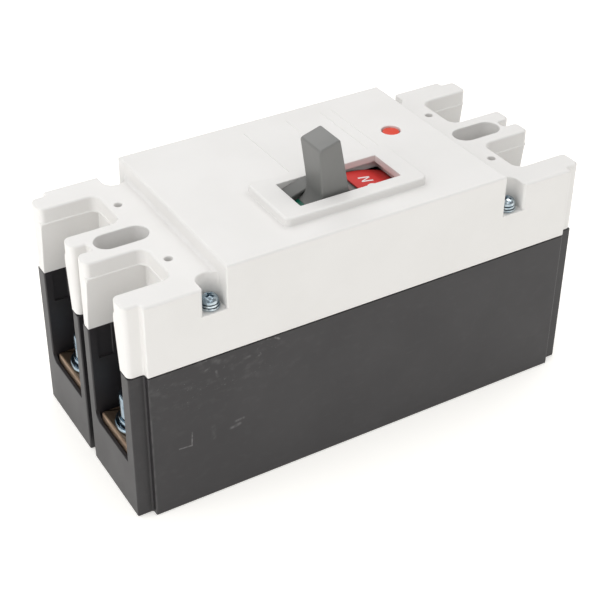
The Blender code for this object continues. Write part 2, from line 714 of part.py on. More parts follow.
def build_cover(grooves, wells, holes):
    """The white cover with its bezel, window, terminal entries and screw pockets."""
    side = [(HALF_LENGTH, SEAM), (HALF_LENGTH, END_TOP), (STEP_X, END_TOP), (STEP_X, TOP)]
    outline = side + [(-x, z) for x, z in reversed(side)]
    cover = extrusion("cover", outline, "Y", -HALF_WIDTH, HALF_WIDTH)
    bezel_low = (BEZEL_X - BEZEL_LENGTH / 2, HANDLE_Y - BEZEL_WIDTH / 2, TOP - OVER)
    bezel_high = (BEZEL_X + BEZEL_LENGTH / 2, HANDLE_Y + BEZEL_WIDTH / 2, BEZEL_TOP)
    fuse(cover, box("bezel", bezel_low, bezel_high))
    inside = STEP_X - ROOF
    cut(cover, box("cavity", (-inside, -CHAMBER_Y, SEAM - OVER), (inside, CHAMBER_Y, TOP - ROOF)))
    well_x = BEZEL_LENGTH / 2 - BEZEL_WALL
    well_y = BEZEL_WIDTH / 2 - BEZEL_WALL
    well_low = (BEZEL_X - well_x, HANDLE_Y - well_y, TOP - ROOF - OVER)
    cut(cover, box("shutter_well", well_low, (BEZEL_X + well_x, HANDLE_Y + well_y, LID_UNDERSIDE)))
    window_low = (HANDLE_X - WINDOW_LENGTH / 2, HANDLE_Y - WINDOW_WIDTH / 2, LID_UNDERSIDE - OVER)
    window_high = (HANDLE_X + WINDOW_LENGTH / 2, HANDLE_Y + WINDOW_WIDTH / 2, BEZEL_TOP + OVER)
    cut(cover, box("window", window_low, window_high), grooves)
    lip = END_TOP - ENTRY_LIP
    upper = []
    lower = []
    blind = []
    for _, sign, y in at_each_terminal():
        band = entry_outline(sign, y, TERMINAL_WIDTH, ENTRY_DEPTH, ENTRY_RADIUS)
        upper.append(extrusion("band", band, "Z", lip - OVER, END_TOP + OVER))
        relief = entry_outline(
            sign, y, TERMINAL_WIDTH + 2 * ENTRY_RELIEF, ENTRY_DEPTH + ENTRY_RELIEF, RELIEF_RADIUS
        )
        lower.append(extrusion("relief", relief, "Z", SEAM - OVER, lip))
        place = (sign * (HALF_LENGTH - BLIND_HOLE_SETBACK), y, END_TOP - BLIND_HOLE_DEPTH)
        blind.append(rod("blind", BLIND_HOLE / 2, "Z", place, BLIND_HOLE_DEPTH + OVER, SMALL_SIDES))
    cut(cover, group("entry_bands", upper), group("entry_reliefs", lower), group("blind_holes", blind), wells)
    pockets = []
    for _, x, y in at_each_screw():
        pockets.append(extrusion("pocket", pocket_outline(x, y), "Z", POCKET_FLOOR, TOP + OVER))
    cut(cover, group("pockets", pockets), holes)
    add_button_sleeve(cover)
    return finish(cover, "white_cover")


def build_cover_screws():
    """Pan-head screws with cross recesses, each on a spring washer."""
    washer_bottom = POCKET_FLOOR + CLEARANCE
    washer_top = washer_bottom + SCREW_WASHER_THICKNESS
    head = washer_top + CLEARANCE
    top = head + SCREW_HEAD_HEIGHT
    tip = BASE_HEIGHT - SCREW_GRIP
    shank = SCREW_DIAMETER / 2
    rim = SCREW_HEAD_DIAMETER / 2
    crown = rim * 0.7
    profile = [
        (0, top),
        (crown, top),
        (rim, head + SCREW_HEAD_HEIGHT / 2),
        (rim, head),
        (shank, head),
        (shank, tip),
        (0, tip),
    ]
    for name, x, y in at_each_screw():
        screw = turned(f"cover_screw_{name}", profile, (x, y, 0), SMALL_SIDES)
        half = SCREW_RECESS_WIDTH / 2
        reach = crown - half
        floor = top - SCREW_RECESS_DEPTH
        cut(screw, box("recess", (x - reach, y - half, floor), (x + reach, y + half, top + OVER)))
        cut(screw, box("recess", (x - half, y - reach, floor), (x + half, y + reach, top + OVER)))
        finish(screw, "zinc")
        ring = split_ring((x, y), SCREW_WASHER_DIAMETER / 2, shank + CLEARANCE, WASHER_SPLIT / 2, SMALL_SIDES)
        washer = extrusion(f"cover_spring_washer_{name}", ring, "Z", washer_bottom, washer_top)
        finish(washer, "zinc")


def build_bars():
    """Copper bars: from each terminal to the fixed contact or to the trip unit."""
    outer = HALF_LENGTH - BAR_SETBACK
    half = BAR_WIDTH / 2
    quarter = math.pi / 2
    for end, sign in ENDS:
        inner = abs(LINE_BAR_INNER if sign < 0 else LOAD_BAR_INNER)
        corner = outer - BAR_CORNER
        outline = [(inner, half), (inner, -half)]
        outline += arc((corner, BAR_CORNER - half), BAR_CORNER, -quarter, 0, ARC_STEPS // 2)
        outline += arc((corner, half - BAR_CORNER), BAR_CORNER, 0, quarter, ARC_STEPS // 2)
        for pole, y in POLES:
            placed = [(sign * along, y + across) for along, across in outline]
            hole = circle((sign * BOLT_X, y), BOLT_DIAMETER / 2 + CLEARANCE)
            bar = extrusion(f"{end}_bar_{pole}", placed, "Z", BAR_BOTTOM, BAR_TOP, [hole])
            finish(bar, "copper")


def build_bolts():
    """Socket-head terminal bolts on a spring washer and a flat washer."""
    hole = BOLT_DIAMETER / 2 + CLEARANCE
    flat_bottom = BAR_TOP + CLEARANCE
    flat_top = flat_bottom + FLAT_WASHER_THICKNESS
    spring_bottom = flat_top + CLEARANCE
    spring_top = spring_bottom + SPRING_WASHER_THICKNESS
    head = spring_top + CLEARANCE
    top = head + BOLT_HEAD_HEIGHT
    rim = BOLT_HEAD_DIAMETER / 2
    shank = BOLT_DIAMETER / 2
    tip = BAR_BOTTOM - BOLT_REACH
    profile = [
        (0, top),
        (rim - BOLT_CHAMFER, top),
        (rim, top - BOLT_CHAMFER),
        (rim, head),
        (shank, head),
        (shank, tip),
        (0, tip),
    ]
    socket = BOLT_SOCKET / 2 / math.cos(math.pi / 6)
    for name, sign, y in at_each_terminal():
        x = sign * BOLT_X
        bolt = turned(f"terminal_bolt_{name}", profile, (x, y, 0))
        depth = BOLT_SOCKET_DEPTH
        cut(bolt, rod("socket", socket, "Z", (x, y, top - depth), depth + OVER, 6))
        finish(bolt, "zinc")
        ring = split_ring((x, y), SPRING_WASHER_DIAMETER / 2, hole, WASHER_SPLIT, ROUND_SIDES)
        washer = extrusion(f"terminal_spring_washer_{name}", ring, "Z", spring_bottom, spring_top)
        finish(washer, "zinc")
        flat = extrusion(
            f"terminal_flat_washer_{name}",
            circle((x, y), FLAT_WASHER_DIAMETER / 2),
            "Z",
            flat_bottom,
            flat_top,
            [circle((x, y), hole)],
        )
        finish(flat, "zinc")


def lever_outline():
    """The lever seen from the side, with a flared foot, counted from the pivot."""
    neck = LEVER_NECK_LENGTH / 2
    centre = (neck + LEVER_FLARE, SHUTTER_RADIUS + LEVER_FLARE)
    flare = arc(centre, LEVER_FLARE, math.pi, math.radians(252))
    root = SHUTTER_RADIUS - 1.5 * SHUTTER_THICKNESS
    side = [(LEVER_TOP_LENGTH / 2, LEVER_TOP_RADIUS), *flare, (flare[-1][0], root)]
    return side + [(-x, z) for x, z in reversed(side)]


def taper_lever(lever):
    """Narrows the lever across its width from foot to top."""
    foot = SHUTTER_RADIUS
    shrink = 1 - LEVER_TOP_WIDTH / LEVER_BASE_WIDTH
    for corner in lever.data.vertices:
        share = (corner.co.z - foot) / (LEVER_TOP_RADIUS - foot)
        scale = 1 - shrink * max(0.0, share)
        corner.co.y = HANDLE_Y + (corner.co.y - HANDLE_Y) * scale


def build_handle(axis):
    """The grey lever on its curved shutter, with the red and green fields."""
    inner = SHUTTER_RADIUS - SHUTTER_THICKNESS
    half = SHUTTER_WIDTH / 2
    curve = sector(inner, SHUTTER_RADIUS, -SHUTTER_OFF_SIDE, SHUTTER_ON_SIDE, 3 * ARC_STEPS)
    handle = extrusion("handle", curve, "Y", HANDLE_Y - half, HANDLE_Y + half, carrier=axis)
    half = LEVER_BASE_WIDTH / 2
    lever = extrusion("lever", lever_outline(), "Y", HANDLE_Y - half, HANDLE_Y + half, carrier=axis)
    taper_lever(lever)
    root = SHUTTER_RADIUS - 1.5 * SHUTTER_THICKNESS
    pad = [
        (0, root),
        (0, SHUTTER_RADIUS + PAD_RISE),
        (-LEVER_NECK_LENGTH / 2, SHUTTER_RADIUS + PAD_RISE),
        (-PAD_LENGTH, SHUTTER_RADIUS + PAD_RISE - PAD_DROP),
        (-PAD_LENGTH, root - PAD_DROP),
    ]
    pad_far = HANDLE_Y + WINDOW_WIDTH / 2 - SHUTTER_SIDE_GAP
    raised = extrusion("pad", pad, "Y", pad_far - PAD_WIDTH, pad_far, carrier=axis)
    boss_bottom = YOKE_RADIUS + CLEARANCE
    boss = box(
        "boss",
        (-BOSS_LENGTH / 2, HANDLE_Y - BOSS_WIDTH / 2, boss_bottom),
        (BOSS_LENGTH / 2, HANDLE_Y + BOSS_WIDTH / 2, SHUTTER_RADIUS - SHUTTER_THICKNESS / 2),
        axis,
    )
    finish(fuse(handle, lever, raised, boss), "grey_handle")
    flag_inner = SHUTTER_RADIUS + CLEARANCE
    flag_outer = flag_inner + FLAG_THICKNESS
    low = HANDLE_Y - SHUTTER_WIDTH / 2 + FLAG_MARGIN
    high = HANDLE_Y + SHUTTER_WIDTH / 2 - FLAG_MARGIN
    margin = FLAG_MARGIN / SHUTTER_RADIUS
    red = sector(flag_inner, flag_outer, ON_FLAG_START, SHUTTER_ON_SIDE - margin, ARC_STEPS)
    finish(extrusion("on_flag", red, "Y", low, high, carrier=axis), "red")
    green = sector(flag_inner, flag_outer, margin - SHUTTER_OFF_SIDE, -OFF_FLAG_START, ARC_STEPS)
    green_high = min(high, pad_far - PAD_WIDTH - CLEARANCE)
    finish(extrusion("off_flag", green, "Y", low, green_high, carrier=axis), "green")


def build_yoke(axis):
    """The steel fork under the handle, turning on two trunnions, and the springs that hang from it."""
    inner = YOKE_SPACING / 2
    outer = inner + YOKE_THICKNESS
    under = YOKE_RADIUS - YOKE_THICKNESS
    side = [(inner, under), (inner, -YOKE_DROP), (outer, -YOKE_DROP), (outer, YOKE_RADIUS)]
    outline = side + [(-y, z) for y, z in reversed(side)]
    placed = [(MECHANISM_Y + y, z) for y, z in outline]
    yoke = extrusion("handle_yoke", placed, "X", -YOKE_LENGTH / 2, YOKE_LENGTH / 2, carrier=axis)
    start = PLATE_SPACING / 2 + CLEARANCE
    length = inner + YOKE_THICKNESS / 2 - start
    for y in (MECHANISM_Y + start, MECHANISM_Y - start - length):
        fuse(yoke, rod("trunnion", TRUNNION_RADIUS, "Y", (0, y, 0), length, SMALL_SIDES, axis))
    finish(yoke, "steel")
    for name, y in (("near", -SPRING_SPREAD / 2), ("far", SPRING_SPREAD / 2)):
        centre = (0, MECHANISM_Y + y)
        top = under - CLEARANCE
        points = helix(centre, SPRING_RADIUS, SPRING_WIRE, SPRING_BOTTOM, top, SPRING_TURNS)
        report_coil_gap(f"main_spring_{name}", points[1:-1], SPRING_WIRE)
        finish(tube(f"main_spring_{name}", points, SPRING_WIRE / 2, 1, axis), "steel")


def build_side_plates():
    """The two plates that carry the handle, the cradle and the toggle."""
    bottom = FLOOR + CLEARANCE
    outline = [(PLATE_LEFT, bottom), (PLATE_RIGHT, bottom), (PLATE_RIGHT, PLATE_TOP), (PLATE_LEFT, PLATE_TOP)]
    holes = [
        circle((HANDLE_AXIS.x, HANDLE_AXIS.z), TRUNNION_RADIUS + CLEARANCE, SMALL_SIDES),
        circle(CRADLE_PIVOT, TRUNNION_RADIUS + CLEARANCE, SMALL_SIDES),
        circle((CROSSBAR_AXIS.x, CROSSBAR_AXIS.z), CROSSBAR_RADIUS + CLEARANCE),
    ]
    start = PLATE_SPACING / 2
    for name, y in (("near", -start - PLATE_THICKNESS), ("far", start)):
        low = MECHANISM_Y + y
        plate = extrusion(f"side_plate_{name}", outline, "Y", low, low + PLATE_THICKNESS, holes)
        finish(plate, "steel")


def build_cradle():
    """The latched lever that holds the upper end of the toggle."""
    half = CRADLE_THICKNESS / 2
    low = MECHANISM_Y - half
    high = MECHANISM_Y + half
    cradle = extrusion("cradle", capsule(CRADLE_PIVOT, LINK_TOP, CRADLE_RADIUS), "Y", low, high)
    fuse(cradle, extrusion("cradle_nose", capsule(LINK_TOP, CRADLE_TIP, CRADLE_RADIUS), "Y", low, high))
    reach = PLATE_SPACING / 2 + PLATE_THICKNESS
    start = (CRADLE_PIVOT.x, MECHANISM_Y - reach, CRADLE_PIVOT.y)
    fuse(cradle, rod("cradle_pin", TRUNNION_RADIUS, "Y", start, 2 * reach, SMALL_SIDES))
    reach = half + CLEARANCE + UPPER_LINK_THICKNESS
    start = (LINK_TOP.x, MECHANISM_Y - reach, LINK_TOP.y)
    fuse(cradle, rod("link_pin", LINK_PIN_RADIUS, "Y", start, 2 * reach, SMALL_SIDES))
    finish(cradle, "steel")


def forked_link(name, axis, start, stop, eye, pins, inner, thickness):
    """Two cheeks on two pivots, joined by a bridge between them; counted from the joint's axis."""
    cheek = capsule(start, stop, eye)
    holes = [circle(place, radius, SMALL_SIDES) for place, radius in zip((start, stop), pins)]
    cheeks = []
    for low in (inner, -inner - thickness):
        low += MECHANISM_Y
        cheeks.append(extrusion(name, cheek, "Y", low, low + thickness, holes, axis))
    middle = (start + stop) / 2
    half = LINK_BRIDGE / 2
    reach = inner + thickness / 2
    bridge = box(
        "bridge",
        (middle.x - half, MECHANISM_Y - reach, middle.y - half),
        (middle.x + half, MECHANISM_Y + reach, middle.y + half),
        axis,
    )
    return finish(fuse(cheeks[0], bridge, cheeks[1]), "steel")


def build_toggle(upper_axis, lower_axis):
    """The two links of the toggle and the knee pin between them."""
    upper_inner = CRADLE_THICKNESS / 2 + CLEARANCE
    upper_pins = (LINK_PIN_RADIUS + CLEARANCE, KNEE_PIN_RADIUS + KNEE_SLACK)
    upper_end = KNEE - LINK_TOP
    origin = Vector((0, 0))
    thick = UPPER_LINK_THICKNESS
    forked_link("upper_link", upper_axis, origin, upper_end, UPPER_EYE_RADIUS, upper_pins, upper_inner, thick)
    lower_inner = ARM_WIDTH / 2 + 2 * CLEARANCE + CRANK_THICKNESS
    lower_pins = (CRANK_PIN_RADIUS + CLEARANCE, KNEE_PIN_RADIUS + CLEARANCE)
    lower_end = KNEE - CRANK_PIN
    thick = LOWER_LINK_THICKNESS
    forked_link("lower_link", lower_axis, origin, lower_end, LOWER_EYE_RADIUS, lower_pins, lower_inner, thick)
    start = (lower_end.x, MECHANISM_Y - KNEE_PIN_LENGTH / 2, lower_end.y)
    pin = rod("knee_pin", KNEE_PIN_RADIUS, "Y", start, KNEE_PIN_LENGTH, SMALL_SIDES, lower_axis)
    finish(pin, "steel")


def build_contacts(axis):
    """The crossbar with its crank, the contact arms and the contacts."""
    half = CHAMBER_Y - CLEARANCE
    crossbar = rod("crossbar", CROSSBAR_RADIUS, "Y", (0, -half, 0), 2 * half, carrier=axis)
    crank_inner = ARM_WIDTH / 2 + CLEARANCE
    pin_end = crank_inner + CRANK_THICKNESS + CLEARANCE + LOWER_LINK_THICKNESS
    crank = capsule(Vector((0, 0)), CRANK, CRANK_RADIUS)
    for low in (crank_inner, -crank_inner - CRANK_THICKNESS):
        low += MECHANISM_Y
        fuse(crossbar, extrusion("crank", crank, "Y", low, low + CRANK_THICKNESS, carrier=axis))
    for low in (crank_inner + CRANK_THICKNESS / 2, -pin_end):
        start = (CRANK.x, MECHANISM_Y + low, CRANK.y)
        length = pin_end - crank_inner - CRANK_THICKNESS / 2
        fuse(crossbar, rod("crank_pin", CRANK_PIN_RADIUS, "Y", start, length, SMALL_SIDES, axis))
    arm_bottom = -ARM_DROP
    arm_top = arm_bottom + ARM_THICKNESS
    window_half = ARM_WIDTH / 2 + CLEARANCE
    reach = CROSSBAR_RADIUS + OVER
    for name, y in POLES:
        window = box(
            "arm_window",
            (-reach, y - window_half, arm_bottom - CLEARANCE),
            (reach, y + window_half, arm_top + CLEARANCE),
            axis,
        )
        cut(crossbar, window)
        arm_low = (-ARM_REACH, y - ARM_WIDTH / 2, arm_bottom)
        arm = box(f"contact_arm_{name}", arm_low, (ARM_TAIL, y + ARM_WIDTH / 2, arm_top), axis)
        finish(arm, "copper")
        low = Vector((-CONTACT_REACH - CONTACT_SIZE / 2, y - CONTACT_SIZE / 2, 0))
        high = Vector((CONTACT_SIZE / 2 - CONTACT_REACH, y + CONTACT_SIZE / 2, 0))
        low.z = arm_bottom - CLEARANCE - CONTACT_THICKNESS
        high.z = arm_bottom - CLEARANCE
        finish(box(f"moving_contact_{name}", low, high, axis), "silver_contact")
        low = low + CROSSBAR_AXIS
        high = high + CROSSBAR_AXIS
        low.z = BAR_TOP + CLEARANCE
        high.z = FIXED_CONTACT_TOP
        finish(box(f"fixed_contact_{name}", low, high), "silver_contact")
    finish(crossbar, "black_insulator")


def build_arc_chutes():
    """Stacks of splitter plates between side walls, beyond the contacts."""
    bottom = BAR_TOP + CLEARANCE
    top = BASE_HEIGHT - CHUTE_TOP_GAP
    pitch = (top - bottom - CHUTE_PLATE_THICKNESS) / (CHUTE_PLATES - 1)
    half = CHUTE_WIDTH / 2
    for name, y in POLES:
        chute = box(f"arc_chute_{name}", (CHUTE_LEFT, y - half, bottom), (CHUTE_RIGHT, y + half, top))
        slots = []
        inside = half - CHUTE_WALL
        for i in range(CHUTE_PLATES - 1):
            low = bottom + CHUTE_PLATE_THICKNESS + i * pitch
            high = low + pitch - CHUTE_PLATE_THICKNESS
            gap_low = (CHUTE_LEFT - OVER, y - inside, low)
            slots.append(box("gap", gap_low, (CHUTE_RIGHT + OVER, y + inside, high)))
        finish(cut(chute, group(f"chute_gaps_{name}", slots)), "steel")


def build_braids():
    """Flexible leads from the contact arms' tails down to the load bars."""
    start = Vector((CROSSBAR_AXIS.x + ARM_TAIL + CLEARANCE, CROSSBAR_AXIS.z - ARM_DROP + ARM_THICKNESS / 2))
    stop = Vector((LOAD_BAR_INNER + BRAID_LANDING, BAR_TOP + CLEARANCE))
    span = stop.x - start.x
    leave = start + Vector((span / 2, 0))
    arrive = Vector((stop.x, start.y + BRAID_RISE))
    for name, y in POLES:
        points = []
        for i in range(BRAID_POINTS):
            t = i / (BRAID_POINTS - 1)
            s = 1 - t
            place = s**3 * start + 3 * s * s * t * leave + 3 * s * t * t * arrive + t**3 * stop
            points.append((place.x, y, place.y))
        finish(tube(f"braid_{name}", points, BRAID_RADIUS, 2), "copper")


def build_trip_units():
    """A bimetal strip, a magnet yoke and its armature on each load bar."""
    foot = BAR_TOP + CLEARANCE
    for name, y in POLES:
        shelf = foot + MAGNET_THICKNESS
        strip_foot = shelf + CLEARANCE
        half = BIMETAL_WIDTH / 2
        low = (BIMETAL_RIGHT - BIMETAL_THICKNESS, y - half, strip_foot)
        finish(box(f"bimetal_{name}", low, (BIMETAL_RIGHT, y + half, strip_foot + BIMETAL_HEIGHT)), "steel")
        outer = MAGNET_WIDTH / 2
        inner = outer - MAGNET_THICKNESS
        top = foot + MAGNET_HEIGHT
        side = [(outer, foot), (outer, top), (inner, top), (inner, shelf)]
        outline = [(y + across, z) for across, z in side + [(-a, z) for a, z in reversed(side)]]
        shelf_left = MAGNET_RIGHT - MAGNET_BASE_LENGTH
        cheek_left = MAGNET_RIGHT - MAGNET_CHEEK_LENGTH
        magnet = extrusion(f"magnet_yoke_{name}", outline, "X", cheek_left, MAGNET_RIGHT)
        fuse(magnet, box("shelf", (shelf_left, y - outer, foot), (cheek_left + OVER, y + outer, shelf)))
        finish(magnet, "steel")
        thick = ARMATURE_THICKNESS
        pivot_x = cheek_left - ARMATURE_GAP - thick / 2
        axis = axis_empty(f"armature_axis_{name}", (pivot_x, y, shelf + CLEARANCE + thick / 2))
        half = ARMATURE_WIDTH / 2
        low = (-thick / 2, -half, -thick / 2)
        armature = box(f"armature_{name}", low, (thick / 2, half, ARMATURE_HEIGHT), axis)
        finish(armature, "steel")


def build_trip_bar(axis):
    """The shaft that trips the breaker, with a finger at each bimetal and one under the button."""
    half = CHAMBER_Y - CLEARANCE
    bar = rod("trip_bar", TRIP_BAR_RADIUS, "Y", (0, -half, 0), 2 * half, SMALL_SIDES, axis)
    thick = TRIP_FINGER_THICKNESS / 2
    for _, y in POLES:
        low = (-thick, y - TRIP_FINGER_WIDTH / 2, -TRIP_FINGER_LENGTH)
        fuse(bar, box("finger", low, (thick, y + TRIP_FINGER_WIDTH / 2, 0), axis))
    reach = TRIP_AXIS.x - BUTTON_X + BUTTON_PAD_MARGIN
    thick = BUTTON_PAD_THICKNESS / 2
    half = BUTTON_PAD_WIDTH / 2
    fuse(bar, box("button_pad", (-reach, BUTTON_Y - half, -thick), (0, BUTTON_Y + half, thick), axis))
    finish(bar, "black_insulator")


def build_trip_button():
    """The red button in its sleeve, with the spring that lifts it."""
    underside = TOP - ROOF
    top = TOP - BUTTON_SETBACK
    flange_top = underside - CLEARANCE
    flange_bottom = flange_top - BUTTON_FLANGE_THICKNESS
    tip = TRIP_AXIS.z + BUTTON_PAD_THICKNESS / 2 + CLEARANCE
    radius = BUTTON_DIAMETER / 2
    flange = BUTTON_FLANGE_DIAMETER / 2
    stem = BUTTON_STEM_DIAMETER / 2
    profile = [
        (0, top),
        (radius, top),
        (radius, flange_top),
        (flange, flange_top),
        (flange, flange_bottom),
        (stem, flange_bottom),
        (stem, tip),
        (0, tip),
    ]
    finish(turned("trip_button", profile, (BUTTON_X, BUTTON_Y, 0)), "red")
    seat = underside - SLEEVE_DEPTH + SLEEVE_FLOOR + CLEARANCE
    place = (BUTTON_X, BUTTON_Y)
    high = flange_bottom - CLEARANCE
    points = helix(place, BUTTON_SPRING_RADIUS, BUTTON_SPRING_WIRE, seat, high, BUTTON_SPRING_TURNS)
    report_coil_gap("button_spring", points[1:-1], BUTTON_SPRING_WIRE)
    finish(tube("button_spring", points, BUTTON_SPRING_WIRE / 2, 1), "steel")


def main():
    """Builds every piece where it sits in the breaker."""
    clear_scene()
    grooves = edge_grooves()
    wells = mounting_wells()
    holes = screw_holes()
    build_base(grooves, wells, holes)
    build_cover(grooves, wells, holes)
    build_cover_screws()
    build_bars()
    build_bolts()
    handle_axis = axis_empty("handle_axis", HANDLE_AXIS, -LEVER_TILT)
    build_handle(handle_axis)
    build_yoke(handle_axis)
    build_side_plates()
    build_cradle()
    upper_axis = axis_empty("upper_link_axis", (LINK_TOP.x, 0, LINK_TOP.y))
    lower_axis = axis_empty("lower_link_axis", (CRANK_PIN.x, 0, CRANK_PIN.y))
    build_toggle(upper_axis, lower_axis)
    build_contacts(axis_empty("contact_axis", CROSSBAR_AXIS))
    build_arc_chutes()
    build_braids()
    build_trip_units()
    build_trip_bar(axis_empty("trip_bar_axis", TRIP_AXIS))
    build_trip_button()


main()
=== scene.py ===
"""Looks of a two-pole molded case breaker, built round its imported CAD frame.

Solids are drawn in millimetres on the bench, in the frame's own axes: X from the line end to the load
end, Y across the poles and Z up from the mounting face. Shipping a solid scales it to metres and puts
it on the body that carries it.
"""

import json
import logging
import math
from collections.abc import Callable, Iterator, Sequence
from dataclasses import dataclass, replace
from enum import Enum
from functools import partial, reduce
from itertools import product
from typing import Any

import bmesh
import bpy
from mathutils import Matrix, Vector

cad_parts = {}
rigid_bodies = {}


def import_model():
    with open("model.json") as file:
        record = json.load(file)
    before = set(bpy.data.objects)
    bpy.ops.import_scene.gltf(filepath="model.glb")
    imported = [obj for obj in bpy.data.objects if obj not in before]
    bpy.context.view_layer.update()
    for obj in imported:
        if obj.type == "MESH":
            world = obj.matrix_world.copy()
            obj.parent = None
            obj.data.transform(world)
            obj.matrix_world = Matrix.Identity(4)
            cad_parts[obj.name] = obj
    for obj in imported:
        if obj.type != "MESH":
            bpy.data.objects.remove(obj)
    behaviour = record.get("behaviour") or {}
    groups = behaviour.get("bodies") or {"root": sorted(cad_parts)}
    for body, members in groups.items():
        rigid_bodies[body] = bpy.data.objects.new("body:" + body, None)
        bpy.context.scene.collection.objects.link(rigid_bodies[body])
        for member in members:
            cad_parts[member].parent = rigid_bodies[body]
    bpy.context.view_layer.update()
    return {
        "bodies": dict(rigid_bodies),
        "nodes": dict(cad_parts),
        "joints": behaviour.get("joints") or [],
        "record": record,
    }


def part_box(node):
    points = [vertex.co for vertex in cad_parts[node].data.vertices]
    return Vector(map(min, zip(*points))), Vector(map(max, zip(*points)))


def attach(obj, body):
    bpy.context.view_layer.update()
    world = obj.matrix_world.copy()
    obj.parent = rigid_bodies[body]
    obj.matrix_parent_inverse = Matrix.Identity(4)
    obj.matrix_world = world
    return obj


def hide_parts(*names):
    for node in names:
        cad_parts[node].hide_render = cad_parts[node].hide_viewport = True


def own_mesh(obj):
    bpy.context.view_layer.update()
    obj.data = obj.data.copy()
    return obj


LOG = logging.getLogger("breaker")
MM = 0.001
# How far a cutting solid reaches past the face that it cuts
PAST = 1.0

Point = tuple[float, float]
Triple = tuple[float, float, float]
Bounds = tuple[float, float, float, float]
Colour = Triple


class End(Enum):
    """The two ends of the breaker, with the sign of X at each."""

    LINE = -1
    LOAD = 1


class Pole(Enum):
    """The two poles, with the sign of Y at each."""

    NEAR = -1
    FAR = 1


class Slot(Enum):
    """The record's material slots."""

    WHITE = "white_cover"
    BLACK = "black_base"
    GREY = "grey_handle"
    RED = "red"
    GREEN = "green"
    COPPER = "copper"
    SILVER = "silver_contact"
    ZINC = "zinc"
    STEEL = "steel"
    INSULATOR = "black_insulator"


class Axis(Enum):
    """The direction a flat outline is drawn out in."""

    X = Matrix(((0, 0, 1, 0), (1, 0, 0, 0), (0, 1, 0, 0), (0, 0, 0, 1)))
    Y = Matrix(((1, 0, 0, 0), (0, 0, -1, 0), (0, 1, 0, 0), (0, 0, 0, 1)))
    Z = Matrix.Identity(4)


def label(end: End, pole: Pole) -> str:
    """A terminal's name, such as line_near."""
    return f"{end.name}_{pole.name}".lower()


# Shader maths


class Value:
    """A value socket that Python's operators extend with Math nodes."""

    def __init__(self, graph: "Graph", socket: bpy.types.NodeSocket) -> None:
        """Wraps a socket of a graph."""
        self.graph = graph
        self.socket = socket

    def __add__(self, other: "Value | float") -> "Value":
        """Sum."""
        return self.graph.math("ADD", self, other)

    __radd__ = __add__

    def __sub__(self, other: "Value | float") -> "Value":
        """Difference."""
        return self.graph.math("SUBTRACT", self, other)

    def __rsub__(self, other: "Value | float") -> "Value":
        """Difference from a number."""
        return self.graph.math("SUBTRACT", other, self)

    def __mul__(self, other: "Value | float") -> "Value":
        """Product."""
        return self.graph.math("MULTIPLY", self, other)

    __rmul__ = __mul__

    def __truediv__(self, other: "Value | float") -> "Value":
        """Quotient."""
        return self.graph.math("DIVIDE", self, other)

    def __rtruediv__(self, other: "Value | float") -> "Value":
        """Quotient of a number."""
        return self.graph.math("DIVIDE", other, self)

    def __pow__(self, other: "Value | float") -> "Value":
        """Power."""
        return self.graph.math("POWER", self, other)

    def __rpow__(self, other: "Value | float") -> "Value":
        """Power of a number."""
        return self.graph.math("POWER", other, self)

    def __abs__(self) -> "Value":
        """Size without sign."""
        return self.graph.math("ABSOLUTE", self)

    def at_most(self, other: "Value | float") -> "Value":
        """The smaller of two values."""
        return self.graph.math("MINIMUM", self, other)

    def at_least(self, other: "Value | float") -> "Value":
        """The larger of two values."""
        return self.graph.math("MAXIMUM", self, other)

    def rise(self, low: float, high: float) -> "Value":
        """A smooth step, which falls where high is below low.

        Args:
            low: where it is 0.
            high: where it is 1.

        Returns:
            The step.
        """
        if low > high:
            return 1 - self.rise(high, low)
        settings = {"interpolation_type": "SMOOTHSTEP"}
        sockets = {"Value": self, "From Min": low, "From Max": high}
        return Value(self.graph, self.graph.node("ShaderNodeMapRange", settings, sockets).outputs[0])


